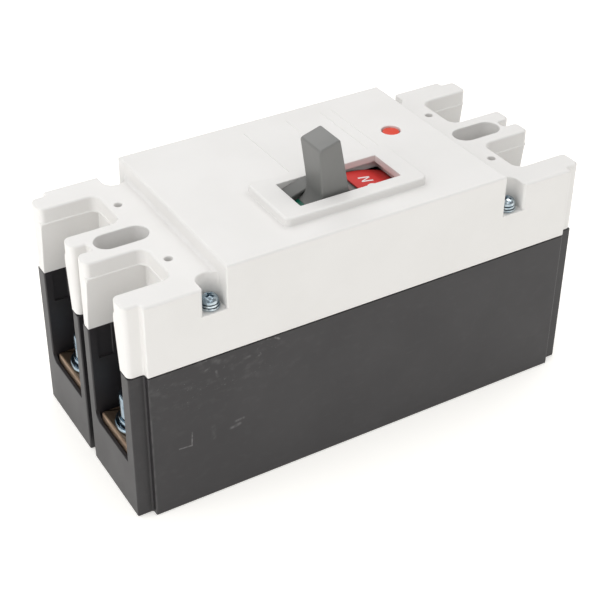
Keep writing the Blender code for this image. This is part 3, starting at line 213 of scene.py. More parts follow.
class Graph:
    """The node tree of one material, with its surface point in millimetres."""

    NOISE_ROUGHNESS = 0.55
    NOISE_SHIFT: Triple = (31.7, 17.3, 23.9)

    def __init__(self, name: str) -> None:
        """Starts an empty material.

        Args:
            name: the material's name.
        """
        self.material = bpy.data.materials.new(name)
        self.material.use_nodes = True
        self.tree = self.material.node_tree
        self.tree.nodes.clear()
        coordinates = self.node("ShaderNodeTexCoord").outputs["Object"]
        self.point = self.vector("MULTIPLY", coordinates, (1 / MM, 1 / MM, 1 / MM))

    def feed(self, socket: bpy.types.NodeSocket, value: Any) -> None:
        """Sets or links one input.

        Args:
            socket: the input.
            value: a number, a tuple, a Value or another node's output.
        """
        if isinstance(value, Value):
            value = value.socket
        if isinstance(value, bpy.types.NodeSocket):
            self.tree.links.new(value, socket)
        elif isinstance(value, tuple) and socket.type == "RGBA" and len(value) == 3:
            socket.default_value = (*value, 1.0)
        else:
            socket.default_value = value

    def node(
        self, kind: str, settings: dict[str, Any] | None = None, sockets: dict[str | int, Any] | None = None
    ) -> bpy.types.Node:
        """Adds a node.

        Args:
            kind: the node's type.
            settings: its properties, set first.
            sockets: values or links of its inputs, by name or number.

        Returns:
            The node.
        """
        made = self.tree.nodes.new(kind)
        for key, value in (settings or {}).items():
            setattr(made, key, value)
        for key, value in (sockets or {}).items():
            self.feed(made.inputs[key], value)
        return made

    def math(self, operation: str, *values: "Value | float") -> Value:
        """One Math node with its inputs in order."""
        made = self.node("ShaderNodeMath", {"operation": operation}, dict(enumerate(values)))
        return Value(self, made.outputs[0])

    def vector(self, operation: str, first: bpy.types.NodeSocket, second: Triple) -> bpy.types.NodeSocket:
        """One Vector Math node on a link and three numbers."""
        return self.node("ShaderNodeVectorMath", {"operation": operation}, {0: first, 1: second}).outputs[0]

    def axes(self) -> tuple[Value, Value, Value]:
        """The surface point's X, Y and Z in millimetres."""
        parts = self.node("ShaderNodeSeparateXYZ", None, {0: self.point}).outputs
        return Value(self, parts[0]), Value(self, parts[1]), Value(self, parts[2])

    def noise(
        self, size: float, detail: float = 3.0, stretch: Triple = (1, 1, 1), shift: float = 0.0
    ) -> Value:
        """Noise whose features are about size millimetres across.

        Args:
            size: the features' size.
            detail: octaves.
            stretch: how many times longer the features are along each axis.
            shift: moves the pattern, so that two noises differ.

        Returns:
            The noise, about 0.5 on the whole.
        """
        place = self.vector("MULTIPLY", self.point, tuple(1 / s for s in stretch))
        if shift:
            place = self.vector("ADD", place, tuple(shift * step for step in self.NOISE_SHIFT))
        sockets = {"Vector": place, "Scale": 1 / size, "Detail": detail, "Roughness": self.NOISE_ROUGHNESS}
        return Value(self, self.node("ShaderNodeTexNoise", None, sockets).outputs[0])

    def mix(self, share: Value, first: Any, second: Any) -> bpy.types.NodeSocket:
        """A blend of two colours or links by the share of the second."""
        made = self.node("ShaderNodeMix", {"data_type": "RGBA"}, {0: share, 6: first, 7: second})
        return made.outputs[2]

    def bump(self, height: Value, depth: float) -> bpy.types.NodeSocket:
        """A normal from a height of 0 to 1, where 1 stands for a depth in millimetres."""
        return self.node("ShaderNodeBump", None, {"Distance": depth * MM, "Height": height}).outputs[0]

    def surface(self, sockets: dict[str, Any]) -> bpy.types.Material:
        """Ends the material with a Principled shader.

        Args:
            sockets: the shader's inputs.

        Returns:
            The material.
        """
        shader = self.node("ShaderNodeBsdfPrincipled", None, sockets)
        self.node("ShaderNodeOutputMaterial", None, {"Surface": shader.outputs[0]})
        return self.material


# Finishes


@dataclass(frozen=True)
class Finish:
    """A named material, whose kind says what its shader's inputs get."""

    name: str

    def sockets(self, graph: Graph) -> dict[str, Any]:
        """The Principled shader's inputs by name."""
        raise NotImplementedError

    def make(self) -> bpy.types.Material:
        """Builds the material."""
        graph = Graph(self.name)
        return graph.surface(self.sockets(graph))


@dataclass(frozen=True)
class MouldedPlastic(Finish):
    """Molded plastic with a fine spark-eroded grain and a slightly uneven tone and sheen."""

    tone: Colour
    shade: Colour
    roughness: float = 0.42
    grain: float = 0.35
    grain_depth: float = 0.006
    cloud: float = 22.0
    sheen: float = 9.0
    sheen_span: float = 0.12

    def sockets(self, graph: Graph) -> dict[str, Any]:
        """A clouded tone with a clouded sheen and a bumped grain.

        Args:
            graph: the material's graph.

        Returns:
            The Principled shader's inputs by name.
        """
        clouds = graph.noise(self.cloud, 4.0).rise(0.35, 0.7)
        sheen = graph.noise(self.sheen, 3.0, shift=1.0)
        return {
            "Base Color": graph.mix(clouds, self.tone, self.shade),
            "Roughness": sheen * self.sheen_span + (self.roughness - self.sheen_span / 2),
            "Normal": graph.bump(graph.noise(self.grain, 2.0), self.grain_depth),
        }


@dataclass(frozen=True)
class Scratch:
    """A straight scratch on the near side: its ends along X and Z, its width and how pale it is."""

    start: Point
    stop: Point
    width: float
    strength: float
    fade: float = 1.3

    def mask(self, x: Value, z: Value) -> Value:
        """The scratch as a mask, which fades out over its width.

        Args:
            x: the surface point's X.
            z: the surface point's Z.

        Returns:
            The scratch's strength on its line and 0 away from it.
        """
        along_x = self.stop[0] - self.start[0]
        along_z = self.stop[1] - self.start[1]
        square = along_x**2 + along_z**2
        share = ((x - self.start[0]) * along_x + (z - self.start[1]) * along_z) / square
        share = share.at_least(0.0).at_most(1.0)
        off_x = x - self.start[0] - share * along_x
        off_z = z - self.start[1] - share * along_z
        distance = (off_x * off_x + off_z * off_z) ** 0.5
        return distance.rise(self.width * self.fade, 0.0) * self.strength


@dataclass(frozen=True)
class WornBase(MouldedPlastic):
    """Black molded plastic with dust, rubbed edges and scratches from handling."""

    sheen: float = 12.0
    dust: Colour = (0.30, 0.29, 0.29)
    dulling: float = 0.2
    near_side: float = -37.0
    dusty_z: Point = (26.0, 52.0)
    dusty_x: Point = (-12.0, -50.0)
    corner_x: float = 77.7
    rubbing: float = 0.14
    scratches: tuple[Scratch, ...] = ()

    def marks(self, graph: Graph) -> Value:
        """Where the black is dusty, rubbed or scratched.

        Args:
            graph: the material's graph.

        Returns:
            The share of pale dust.
        """
        x, y, z = graph.axes()
        side = y.rise(self.near_side, self.near_side - 0.1)
        broken = graph.noise(1.6, 4.0, shift=2.0).rise(0.25, 0.62)
        lines = reduce(Value.at_least, [scratch.mask(x, z) for scratch in self.scratches]) * broken * side
        patches = graph.noise(7.0, 5.0, shift=3.0).rise(0.42, 0.66)
        specks = graph.noise(0.9, 2.0, (1, 1, 0.7), 4.0).rise(0.62, 0.78)
        smudges = graph.noise(4.0, 5.0, (1, 1, 0.6), 5.0).rise(0.50, 0.80)
        handled = z.rise(*self.dusty_z) * x.rise(*self.dusty_x) * side
        dust = specks * patches * (handled * 0.42 + 0.03) + smudges * (handled * 0.09 + 0.022)
        outer = abs(x) - self.corner_x
        corner = outer.rise(-0.7, -0.3) * outer.rise(0.2, -0.1) * side
        worn = graph.noise(3.0, 4.0, shift=6.0).rise(0.2, 0.75)
        rubbed = z.rise(0.6, 0.1).at_least(corner) * worn * self.rubbing
        return lines.at_least(dust).at_least(rubbed).at_most(1.0)

    def sockets(self, graph: Graph) -> dict[str, Any]:
        """The plain plastic's inputs, paler and duller where there are marks.

        Args:
            graph: the material's graph.

        Returns:
            The Principled shader's inputs by name.
        """
        marks = self.marks(graph)
        plain = super().sockets(graph)
        colour = graph.mix(marks, plain["Base Color"], self.dust)
        return plain | {"Base Color": colour, "Roughness": plain["Roughness"] + marks * self.dulling}


@dataclass(frozen=True)
class Metal(Finish):
    """Metal with a fine directional grain and a clouded tint, such as plating, oxide or tool marks."""

    tone: Colour
    tint: Colour
    roughness: float = 0.25
    grain: float = 0.25
    stretch: Triple = (1, 1, 1)
    grain_depth: float = 0.004
    cloud: float = 3.5
    balance: Point = (0.40, 0.65)
    metallic: float = 1.0
    polish: float = 0.06
    cloud_dulling: float = 0.14
    grain_dulling: float = 0.08

    def sockets(self, graph: Graph) -> dict[str, Any]:
        """A clouded tone, duller in the clouds, with a bumped grain.

        Args:
            graph: the material's graph.

        Returns:
            The Principled shader's inputs by name.
        """
        grain = graph.noise(self.grain, 2.0, self.stretch)
        clouds = graph.noise(self.cloud, 4.0, shift=1.0).rise(*self.balance)
        dulling = clouds * self.cloud_dulling + grain * self.grain_dulling
        return {
            "Base Color": graph.mix(clouds, self.tone, self.tint),
            "Metallic": self.metallic,
            "Roughness": dulling + (self.roughness - self.polish),
            "Normal": graph.bump(grain, self.grain_depth),
        }


@dataclass(frozen=True)
class Paper(Finish):
    """The pale seamless floor, lifted a little so that it stays near white."""

    tone: Colour = (0.92, 0.91, 0.885)
    fleck: float = 0.99
    glow: Colour = (1.0, 0.985, 0.95)
    lift: float = 0.4

    def sockets(self, graph: Graph) -> dict[str, Any]:
        """A matt tone with faint fibres and a weak glow.

        Args:
            graph: the material's graph.

        Returns:
            The Principled shader's inputs by name.
        """
        darker = tuple(c * self.fleck for c in self.tone)
        return {
            "Base Color": graph.mix(graph.noise(1.5, 3.0), self.tone, darker),
            "Roughness": 0.9,
            "Specular IOR Level": 0.0,
            "Emission Color": self.glow,
            "Emission Strength": self.lift,
        }


class Finishes:
    """Every finish on the breaker, made once."""

    def __init__(self) -> None:
        """Makes the materials for the record's slots, the cover's screws, the button and the words."""
        scratches = (
            Scratch((-64.1, 28.3), (-64.4, 23.1), 0.30, 0.50),
            Scratch((-64.4, 23.2), (-68.7, 23.5), 0.32, 0.42),
            Scratch((-49.0, 26.35), (-46.2, 26.65), 0.55, 0.34),
            Scratch((-50.6, 24.25), (-47.5, 24.85), 0.70, 0.30),
            Scratch((-56.8, 27.5), (-56.6, 23.0), 0.90, 0.08),
            Scratch((-55.2, 48.6), (-54.9, 46.4), 0.55, 0.20),
            Scratch((-34.6, 53.6), (-33.2, 52.6), 0.45, 0.40),
            Scratch((-55.8, 52.9), (-54.2, 51.9), 1.10, 0.16),
            Scratch((-58.8, 50.2), (-57.6, 50.7), 0.50, 0.20),
            Scratch((-45.6, 49.6), (-43.6, 49.9), 0.60, 0.16),
            Scratch((-40.4, 48.9), (-39.8, 49.2), 0.50, 0.20),
        )
        finishes = {
            Slot.WHITE: MouldedPlastic("cover_white", (0.80, 0.788, 0.772), (0.78, 0.768, 0.75), 0.46),
            Slot.BLACK: WornBase(
                "base_black", (0.0175, 0.0158, 0.0178), (0.0225, 0.0207, 0.0227), 0.44, scratches=scratches
            ),
            Slot.GREY: MouldedPlastic("handle_grey", (0.173, 0.174, 0.168), (0.194, 0.194, 0.187), 0.38),
            Slot.RED: MouldedPlastic("field_red", (0.65, 0.036, 0.031), (0.59, 0.031, 0.026), 0.42),
            Slot.GREEN: MouldedPlastic("field_green", (0.003, 0.150, 0.092), (0.002, 0.12, 0.074), 0.38),
            Slot.COPPER: Metal(
                "bar_copper",
                (0.345, 0.248, 0.174),
                (0.255, 0.179, 0.127),
                roughness=0.40,
                grain=0.3,
                stretch=(6, 1, 1),
                grain_depth=0.006,
                cloud=6.0,
                metallic=0.98,
            ),
            Slot.SILVER: Metal("contact_silver", (0.82, 0.81, 0.78), (0.62, 0.60, 0.56), 0.30),
            # The terminal bolts' zinc: real blue plating, with painted shade of the dark compartments
            # darkened into its tone, so it is darker than the cover screws' zinc
            Slot.ZINC: Metal("fastener_blue_zinc_painted_shade", (0.33, 0.42, 0.49), (0.08, 0.16, 0.225), 0.13, cloud=5.0),
            Slot.STEEL: Metal("mechanism_steel", (0.50, 0.50, 0.51), (0.43, 0.43, 0.44), 0.34),
            Slot.INSULATOR: MouldedPlastic("shaft_black", (0.03, 0.03, 0.034), (0.04, 0.04, 0.043), 0.5),
        }
        self.by_slot = {slot: finish.make() for slot, finish in finishes.items()}
        self.screw = Metal("screw_zinc", (0.60, 0.67, 0.71), (0.30, 0.38, 0.44), 0.15, cloud=4.0).make()
        self.button = MouldedPlastic("button_red", (0.70, 0.056, 0.024), (0.64, 0.045, 0.020), 0.36).make()
        self.print = MouldedPlastic("print_white", (0.86, 0.86, 0.85), (0.80, 0.80, 0.79), 0.5, 0.2).make()

    def __getitem__(self, slot: Slot) -> bpy.types.Material:
        """The material of a slot."""
        return self.by_slot[slot]


# Outlines


@dataclass(frozen=True)
class Corner:
    """A corner of a flat outline and the radius that rounds it."""

    x: float
    y: float
    radius: float = 0.0


def evenly(start: float, stop: float, steps: int) -> list[float]:
    """Values from start to stop in even steps, with both ends."""
    return [start + (stop - start) * i / steps for i in range(steps + 1)]


def share_of(value: float, low: float, high: float, most: float = 1.0) -> float:
    """How far a value lies on the way from low to high, kept between 0 and most."""
    return min(max((value - low) / (high - low), 0.0), most)


def arc(centre: Point, radius: float, start: float, stop: float, steps: int) -> list[Point]:
    """Points on an arc with both its ends, between two angles in degrees, with a number of chords."""
    angles = [math.radians(a) for a in evenly(start, stop, steps)]
    return [(centre[0] + radius * math.cos(a), centre[1] + radius * math.sin(a)) for a in angles]


def rounded(corners: Sequence[Corner], steps: int = 6) -> list[Point]:
    """A closed outline whose corners are replaced by arcs.

    Args:
        corners: the corners in order.
        steps: how many chords each arc has.

    Returns:
        The outline's points.
    """
    points: list[Point] = []
    for i, corner in enumerate(corners):
        here = Vector((corner.x, corner.y))
        if corner.radius <= 0:
            points.append((corner.x, corner.y))
            continue
        before = corners[i - 1]
        after = corners[(i + 1) % len(corners)]
        back = (Vector((before.x, before.y)) - here).normalized()
        ahead = (Vector((after.x, after.y)) - here).normalized()
        half = back.angle(ahead) / 2
        centre = here + (back + ahead).normalized() * (corner.radius / math.sin(half))
        first = here + back * (corner.radius / math.tan(half)) - centre
        last = here + ahead * (corner.radius / math.tan(half)) - centre
        turn = first.angle_signed(last)
        for k in range(steps + 1):
            spoke = first.copy()
            spoke.rotate(Matrix.Rotation(-turn * k / steps, 2))
            points.append(tuple(centre + spoke))
    return points


def rectangle(low: Point, high: Point, radius: float = 0.0, steps: int = 5) -> list[Point]:
    """A rectangle between two corners, with a radius of a number of chords on each of its four."""
    corners = [(low[0], low[1]), (high[0], low[1]), (high[0], high[1]), (low[0], high[1])]
    return rounded([Corner(x, y, radius) for x, y in corners], steps)


def oval(centre: Point, length: float, width: float, steps: int = 12) -> list[Point]:
    """An oval along X with half-round ends.

    Args:
        centre: its middle.
        length: its length.
        width: its width.
        steps: how many chords each end has.

    Returns:
        The outline's points.
    """
    reach = (length - width) / 2
    right = arc((centre[0] + reach, centre[1]), width / 2, -90, 90, steps)
    return right + arc((centre[0] - reach, centre[1]), width / 2, 90, 270, steps)


def circle(centre: Point, radius: float, sides: int = 48) -> list[Point]:
    """Points round a circle."""
    return arc(centre, radius, 0, 360, sides)[:-1]


def quarter(radius: float, steps: int = 4) -> list[Point]:
    """A quarter round from (0, 0), as pairs of the way in from a wall and the way up to a roof."""
    angles = evenly(0.0, math.pi / 2, steps)
    return [(radius * (1 - math.cos(a)), radius * math.sin(a)) for a in angles]


def eased(low: float, high: float, foot: float, rim: float) -> list[Point]:
    """Height and growth of each level of a block whose lower and upper edges are rounded."""
    bottom = [(low + foot - up, -inset) for inset, up in reversed(quarter(foot))] if foot else [(low, 0.0)]
    return bottom + [(high - rim + up, -inset) for inset, up in quarter(rim)]


def flared(low: float, high: float, rim: float) -> list[Point]:
    """Height and growth of each level of an opening whose rim is rounded, with one past its face."""
    edge = [(high - rim + up, inset) for inset, up in quarter(rim)]
    return [(low, 0.0), *edge, (high + 3 * PAST, rim)]


def thread(
    radius: float, depth: float, start: float, tip: float, pitch: float, spare: float = 1.0
) -> list[Point]:
    """The outline of a thread, which ends before the tip.

    Args:
        radius: the radius of its crests.
        depth: how deep its roots are.
        start: the height of its first crest.
        tip: the height of the tip.
        pitch: the distance between crests.
        spare: how far above the tip it has to end.

    Returns:
        Radius and height of each crest and root, downwards.
    """
    points: list[Point] = []
    for i in range(int((start - spare - tip) / pitch)):
        crest = start - i * pitch
        points += [(radius, crest), (radius - depth, crest - pitch / 2)]
    return points


# The bench


@dataclass(frozen=True)
class Ridge:
    """A sharp edge of a solid: its middle, its direction and which way it bends."""

    middle: Vector
    along: Vector
    convex: bool

    @property
    def upright(self) -> bool:
        """Whether the edge runs along Z."""
        return abs(self.along.z) > 0.9

    @property
    def level(self) -> bool:
        """Whether the edge lies flat."""
        return abs(self.along.z) < 0.1


EdgeRule = Callable[[Ridge], float]
Shape = Callable[[float], list[Point]]


class Blank:
    """A closed solid on the bench, in millimetres."""

    WELD = 0.002
    FLAT = math.radians(0.6)
    SHARP = math.radians(40.0)
    FACE_WEIGHT = 80

    def __init__(self, name: str, bm: bmesh.types.BMesh) -> None:
        """Takes over a bmesh.

        Args:
            name: the object's name.
            bm: the solid, which is freed.
        """
        bmesh.ops.recalc_face_normals(bm, faces=bm.faces)
        mesh = bpy.data.meshes.new(name)
        bm.to_mesh(mesh)
        bm.free()
        self.thing = bpy.data.objects.new(name, mesh)
        bpy.context.scene.collection.objects.link(self.thing)

    @classmethod
    def prism(
        cls, name: str, outline: Sequence[Point], low: float, high: float, axis: Axis = Axis.Z
    ) -> "Blank":
        """A flat outline in XY, XZ or YZ, drawn out along the third axis from low to high."""
        return cls.loft(name, [[(x, y, level) for x, y in outline] for level in (low, high)], axis)

    @classmethod
    def loft(
        cls, name: str, rings: Sequence[Sequence[Triple]], axis: Axis = Axis.Z, closed: bool = False
    ) -> "Blank":
        """A skin over rings that have the same number of points.

        Args:
            name: the object's name.
            rings: the rings in order.
            axis: the direction in which the rings were stacked.
            closed: joins the last ring to the first in place of end faces.

        Returns:
            The solid.
        """
        bm = bmesh.new()
        loops = [[bm.verts.new(axis.value @ Vector(place)) for place in ring] for ring in rings]
        pairs = list(zip(loops, loops[1:]))
        if closed:
            pairs.append((loops[-1], loops[0]))
        for lower, upper in pairs:
            for i in range(len(lower)):
                k = (i + 1) % len(lower)
                bm.faces.new((lower[i], lower[k], upper[k], upper[i]))
        if not closed:
            bm.faces.new(reversed(loops[0]))
            bm.faces.new(loops[-1])
        return cls(name, bm)

    @classmethod
    def stack(cls, name: str, shape: Shape, levels: Sequence[Point]) -> "Blank":
        """A shape that grows and shrinks with height; each level is a height and a growth."""
        return cls.loft(name, [[(x, y, height) for x, y in shape(grow)] for height, grow in levels])

    @classmethod
    def hoop(cls, name: str, section: Sequence[Point], place: Point, sides: int) -> "Blank":
        """A closed section of radius and height, turned about an upright axis."""
        rings = [[(x, y, height) for x, y in circle(place, radius, sides)] for radius, height in section]
        return cls.loft(name, rings, closed=True)

    @classmethod
    def spiral(
        cls, name: str, section: Sequence[Point], place: Point, angles: Point, lifts: Point, steps: int
    ) -> "Blank":
        """A section swept round an upright axis while it climbs.

        Args:
            name: the object's name.
            section: radius and height of each point.
            place: where the axis stands.
            angles: its first and last angle in degrees.
            lifts: how high it is at both.
            steps: how many chords it has.

        Returns:
            The solid.
        """
        rings = []
        for angle, lift in zip(evenly(*angles, steps), evenly(*lifts, steps)):
            cosine, sine = math.cos(math.radians(angle)), math.sin(math.radians(angle))
            rings.append([(place[0] + r * cosine, place[1] + r * sine, lift + h) for r, h in section])
        return cls.loft(name, rings)

    @classmethod
    def turned(cls, name: str, profile: Sequence[Point], place: Point, sides: int = 48) -> "Blank":
        """A profile turned about an upright axis.

        Args:
            name: the object's name.
            profile: radius and height of each point, down the outside from the axis and back to it.
            place: where the axis stands.
            sides: how many sides it gets.

        Returns:
            The solid.
        """
        bm = bmesh.new()
        loops: list[list[bmesh.types.BMVert]] = []
        for radius, height in profile:
            ring = circle(place, radius, sides) if radius else [place]
            loops.append([bm.verts.new((x, y, height)) for x, y in ring])
        for upper, lower in zip(loops, loops[1:]):
            for i in range(sides):
                k = (i + 1) % sides
                if len(upper) == 1:
                    bm.faces.new((upper[0], lower[i], lower[k]))
                elif len(lower) == 1:
                    bm.faces.new((upper[i], lower[0], upper[k]))
                else:
                    bm.faces.new((upper[i], lower[i], lower[k], upper[k]))
        return cls(name, bm)

    def evaluate(self) -> None:
        """Applies the modifiers."""
        bpy.context.view_layer.update()
        graph = bpy.context.evaluated_depsgraph_get()
        mesh = bpy.data.meshes.new_from_object(self.thing.evaluated_get(graph))
        self.thing.modifiers.clear()
        old = self.thing.data
        self.thing.data = mesh
        bpy.data.meshes.remove(old)

    def combine(self, operation: str, tools: Sequence["Blank"]) -> "Blank":
        """Cuts or joins solids, which are used up, and merges what lies in one plane.

        Args:
            operation: DIFFERENCE or UNION.
            tools: the other solids.

        Returns:
            This solid.
        """
        for tool in tools:
            step = self.thing.modifiers.new(operation, "BOOLEAN")
            step.operation = operation
            step.solver = "EXACT"
            step.object = tool.thing
        self.evaluate()
        for tool in tools:
            bpy.data.objects.remove(tool.thing)
        bm = bmesh.new()
        bm.from_mesh(self.thing.data)
        bmesh.ops.remove_doubles(bm, verts=bm.verts, dist=self.WELD)
        bmesh.ops.dissolve_limit(bm, angle_limit=self.FLAT, verts=bm.verts, edges=bm.edges)
        bm.to_mesh(self.thing.data)
        bm.free()
        return self

    def cut(self, *tools: "Blank") -> "Blank":
        """Cuts other solids out of this one."""
        return self.combine("DIFFERENCE", tools)

    def join(self, *tools: "Blank") -> "Blank":
        """Joins other solids to this one."""
        return self.combine("UNION", tools)

    def soften(self, rule: EdgeRule, segments: int = 3, angle: float = 28.0) -> "Blank":
        """Rounds the sharp edges.

        Args:
            rule: gives each edge its radius, 0 to leave it as it is.
            segments: how many facets each rounding has.
            angle: the least angle between faces, in degrees, that counts as sharp.

        Returns:
            This solid.
        """
        bm = bmesh.new()
        bm.from_mesh(self.thing.data)
        bm.normal_update()
        radii: dict[int, float] = {}
        for edge in bm.edges:
            if len(edge.link_faces) != 2:
                continue
            turn = edge.calc_face_angle_signed(0.0)
            if abs(turn) < math.radians(angle):
                continue
            start, stop = (v.co for v in edge.verts)
            radii[edge.index] = rule(Ridge((start + stop) / 2, (stop - start).normalized(), turn > 0))
        bm.free()
        widest = max(radii.values(), default=0.0)
        if widest <= 0:
            return self
        mesh = self.thing.data
        weights = mesh.attributes.new("bevel_weight_edge", "FLOAT", "EDGE")
        for index, radius in radii.items():
            weights.data[index].value = radius / widest
        step = self.thing.modifiers.new("soften", "BEVEL")
        step.limit_method = "WEIGHT"
        step.width = widest
        step.segments = segments
        step.use_clamp_overlap = False
        self.evaluate()
        return self

    def shade(self) -> None:
        """Smooth shading that keeps flat faces flat and sharp edges sharp."""
        mesh = self.thing.data
        mesh.shade_smooth()
        mesh.set_sharp_from_angle(angle=self.SHARP)
        step = self.thing.modifiers.new("flatten", "WEIGHTED_NORMAL")
        step.keep_sharp = True
        step.weight = self.FACE_WEIGHT
        self.evaluate()

    def ship(
        self, body: str, finish: bpy.types.Material, slot: Slot, stands_for: Sequence[str] = ()
    ) -> bpy.types.Object:
        """Scales the solid to metres and puts it on its body.

        Args:
            body: the CAD body that carries it.
            finish: its material.
            slot: the record's slot; not used.
            stands_for: the CAD nodes that it replaces.

        Returns:
            The object.
        """
        self.shade()
        mesh = self.thing.data
        mesh.transform(Matrix.Scale(MM, 4))
        mesh.materials.clear()
        mesh.materials.append(finish)
        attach(self.thing, body)
        if stands_for:
            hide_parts(*stands_for)
        LOG.info("%s on %s: %d faces", self.thing.name, body, len(mesh.polygons))
        return self.thing


# The breaker


@dataclass(frozen=True)
class Case:
    """Sizes that the base and the cover share."""

    half_length: float = 83.0
    half_width: float = 37.5
    groove_length: float = 5.3
    groove_depth: float = 2.4
    edge: float = 0.4
    least_edge: float = 0.02
    groove_root: float = 0.7
    nose: float = 1.8
    slot_half: float = 1.9
    slot_depth: float = 5.3
    slot_nose: float = 1.85
    pole: float = 17.875
    terminal_half: float = 11.8
    screw_x: float = 54.7
    screw_y: float = 33.65
    screw_hole: float = 2.3
    bolt_x: float = 72.5
    bolt_hole: float = 4.3
    button: Point = (36.6, 7.5)
    well_x: float = 67.1
    well_length: float = 18.0
    well_width: float = 8.6

    def outline(self, grow: float = 0.0) -> list[Point]:
        """The case from above, with half-grooves at the corners and a barrier slot in each end.

        Args:
            grow: how far the outline is moved outwards.

        Returns:
            The outline's points.
        """
        end, side = self.half_length + grow, self.half_width + grow
        inner = end - self.groove_length
        face = side - self.groove_depth
        slot = self.slot_half - grow
        part = [
            Corner(inner, side, max(self.edge + grow, self.least_edge)),
            Corner(inner, face, self.groove_root - grow),
            Corner(end, face, self.nose + grow),
            Corner(end, slot, self.slot_nose + grow),
            Corner(end - self.slot_depth, slot, self.groove_root - grow),
        ]
        load = [Corner(c.x, -c.y, c.radius) for c in part] + part[::-1]
        line = [Corner(-c.x, c.y, c.radius) for c in reversed(load)]
        return rounded(load + line, 5)

    def mouth(
        self, end: End, pole: Pole, half: float, inner: float, back: float, nose: float, grow: float = 0.0
    ) -> list[Point]:
        """A terminal's opening from above, flared where the walls' ends are rounded.

        Args:
            end: which end.
            pole: which pole.
            half: half of its width.
            inner: the distance of its back from the case's middle.
            back: the radius of its back corners.
            nose: the radius of the walls' ends.
            grow: how far the opening is widened.

        Returns:
            The outline's points.
        """
        side = [(self.half_length + 3 * PAST, half + nose)]
        side += arc((self.half_length - nose, half + nose), nose - grow, 0, -90, 6)
        side += arc((inner + back, half - back), back + grow, 90, 180, 10)
        outline = side + [(x, -y) for x, y in reversed(side)]
        return [(end.value * x, pole.value * (self.pole + y)) for x, y in outline]

    def terminals(self) -> Iterator[tuple[End, Pole]]:
        """Every terminal's end and pole."""
        return product(End, Pole)

    def wells(self, low: float, high: float, rim: float) -> list[Blank]:
        """The oval mounting wells to cut out, from their floor to the face that they open in."""
        return [Blank.stack("well", partial(self.well, end), flared(low, high, rim)) for end in End]

    def well(self, end: End, grow: float) -> list[Point]:
        """A mounting well from above, widened by a distance."""
        return oval((end.value * self.well_x, 0.0), self.well_length + 2 * grow, self.well_width + 2 * grow)

    def screw_place(self, end: End, pole: Pole) -> Point:
        """Where a cover screw's axis stands."""
        return end.value * self.screw_x, pole.value * self.screw_y

    def bolt_place(self, end: End, pole: Pole) -> Point:
        """Where a terminal bolt's axis stands."""
        return end.value * self.bolt_x, pole.value * self.pole

    def screw_holes(self, low: float, high: float) -> list[Blank]:
        """The cover screws' holes to cut out."""
        outlines = [circle(self.screw_place(*corner), self.screw_hole, 24) for corner in self.terminals()]
        return [Blank.prism("hole", outline, low, high) for outline in outlines]


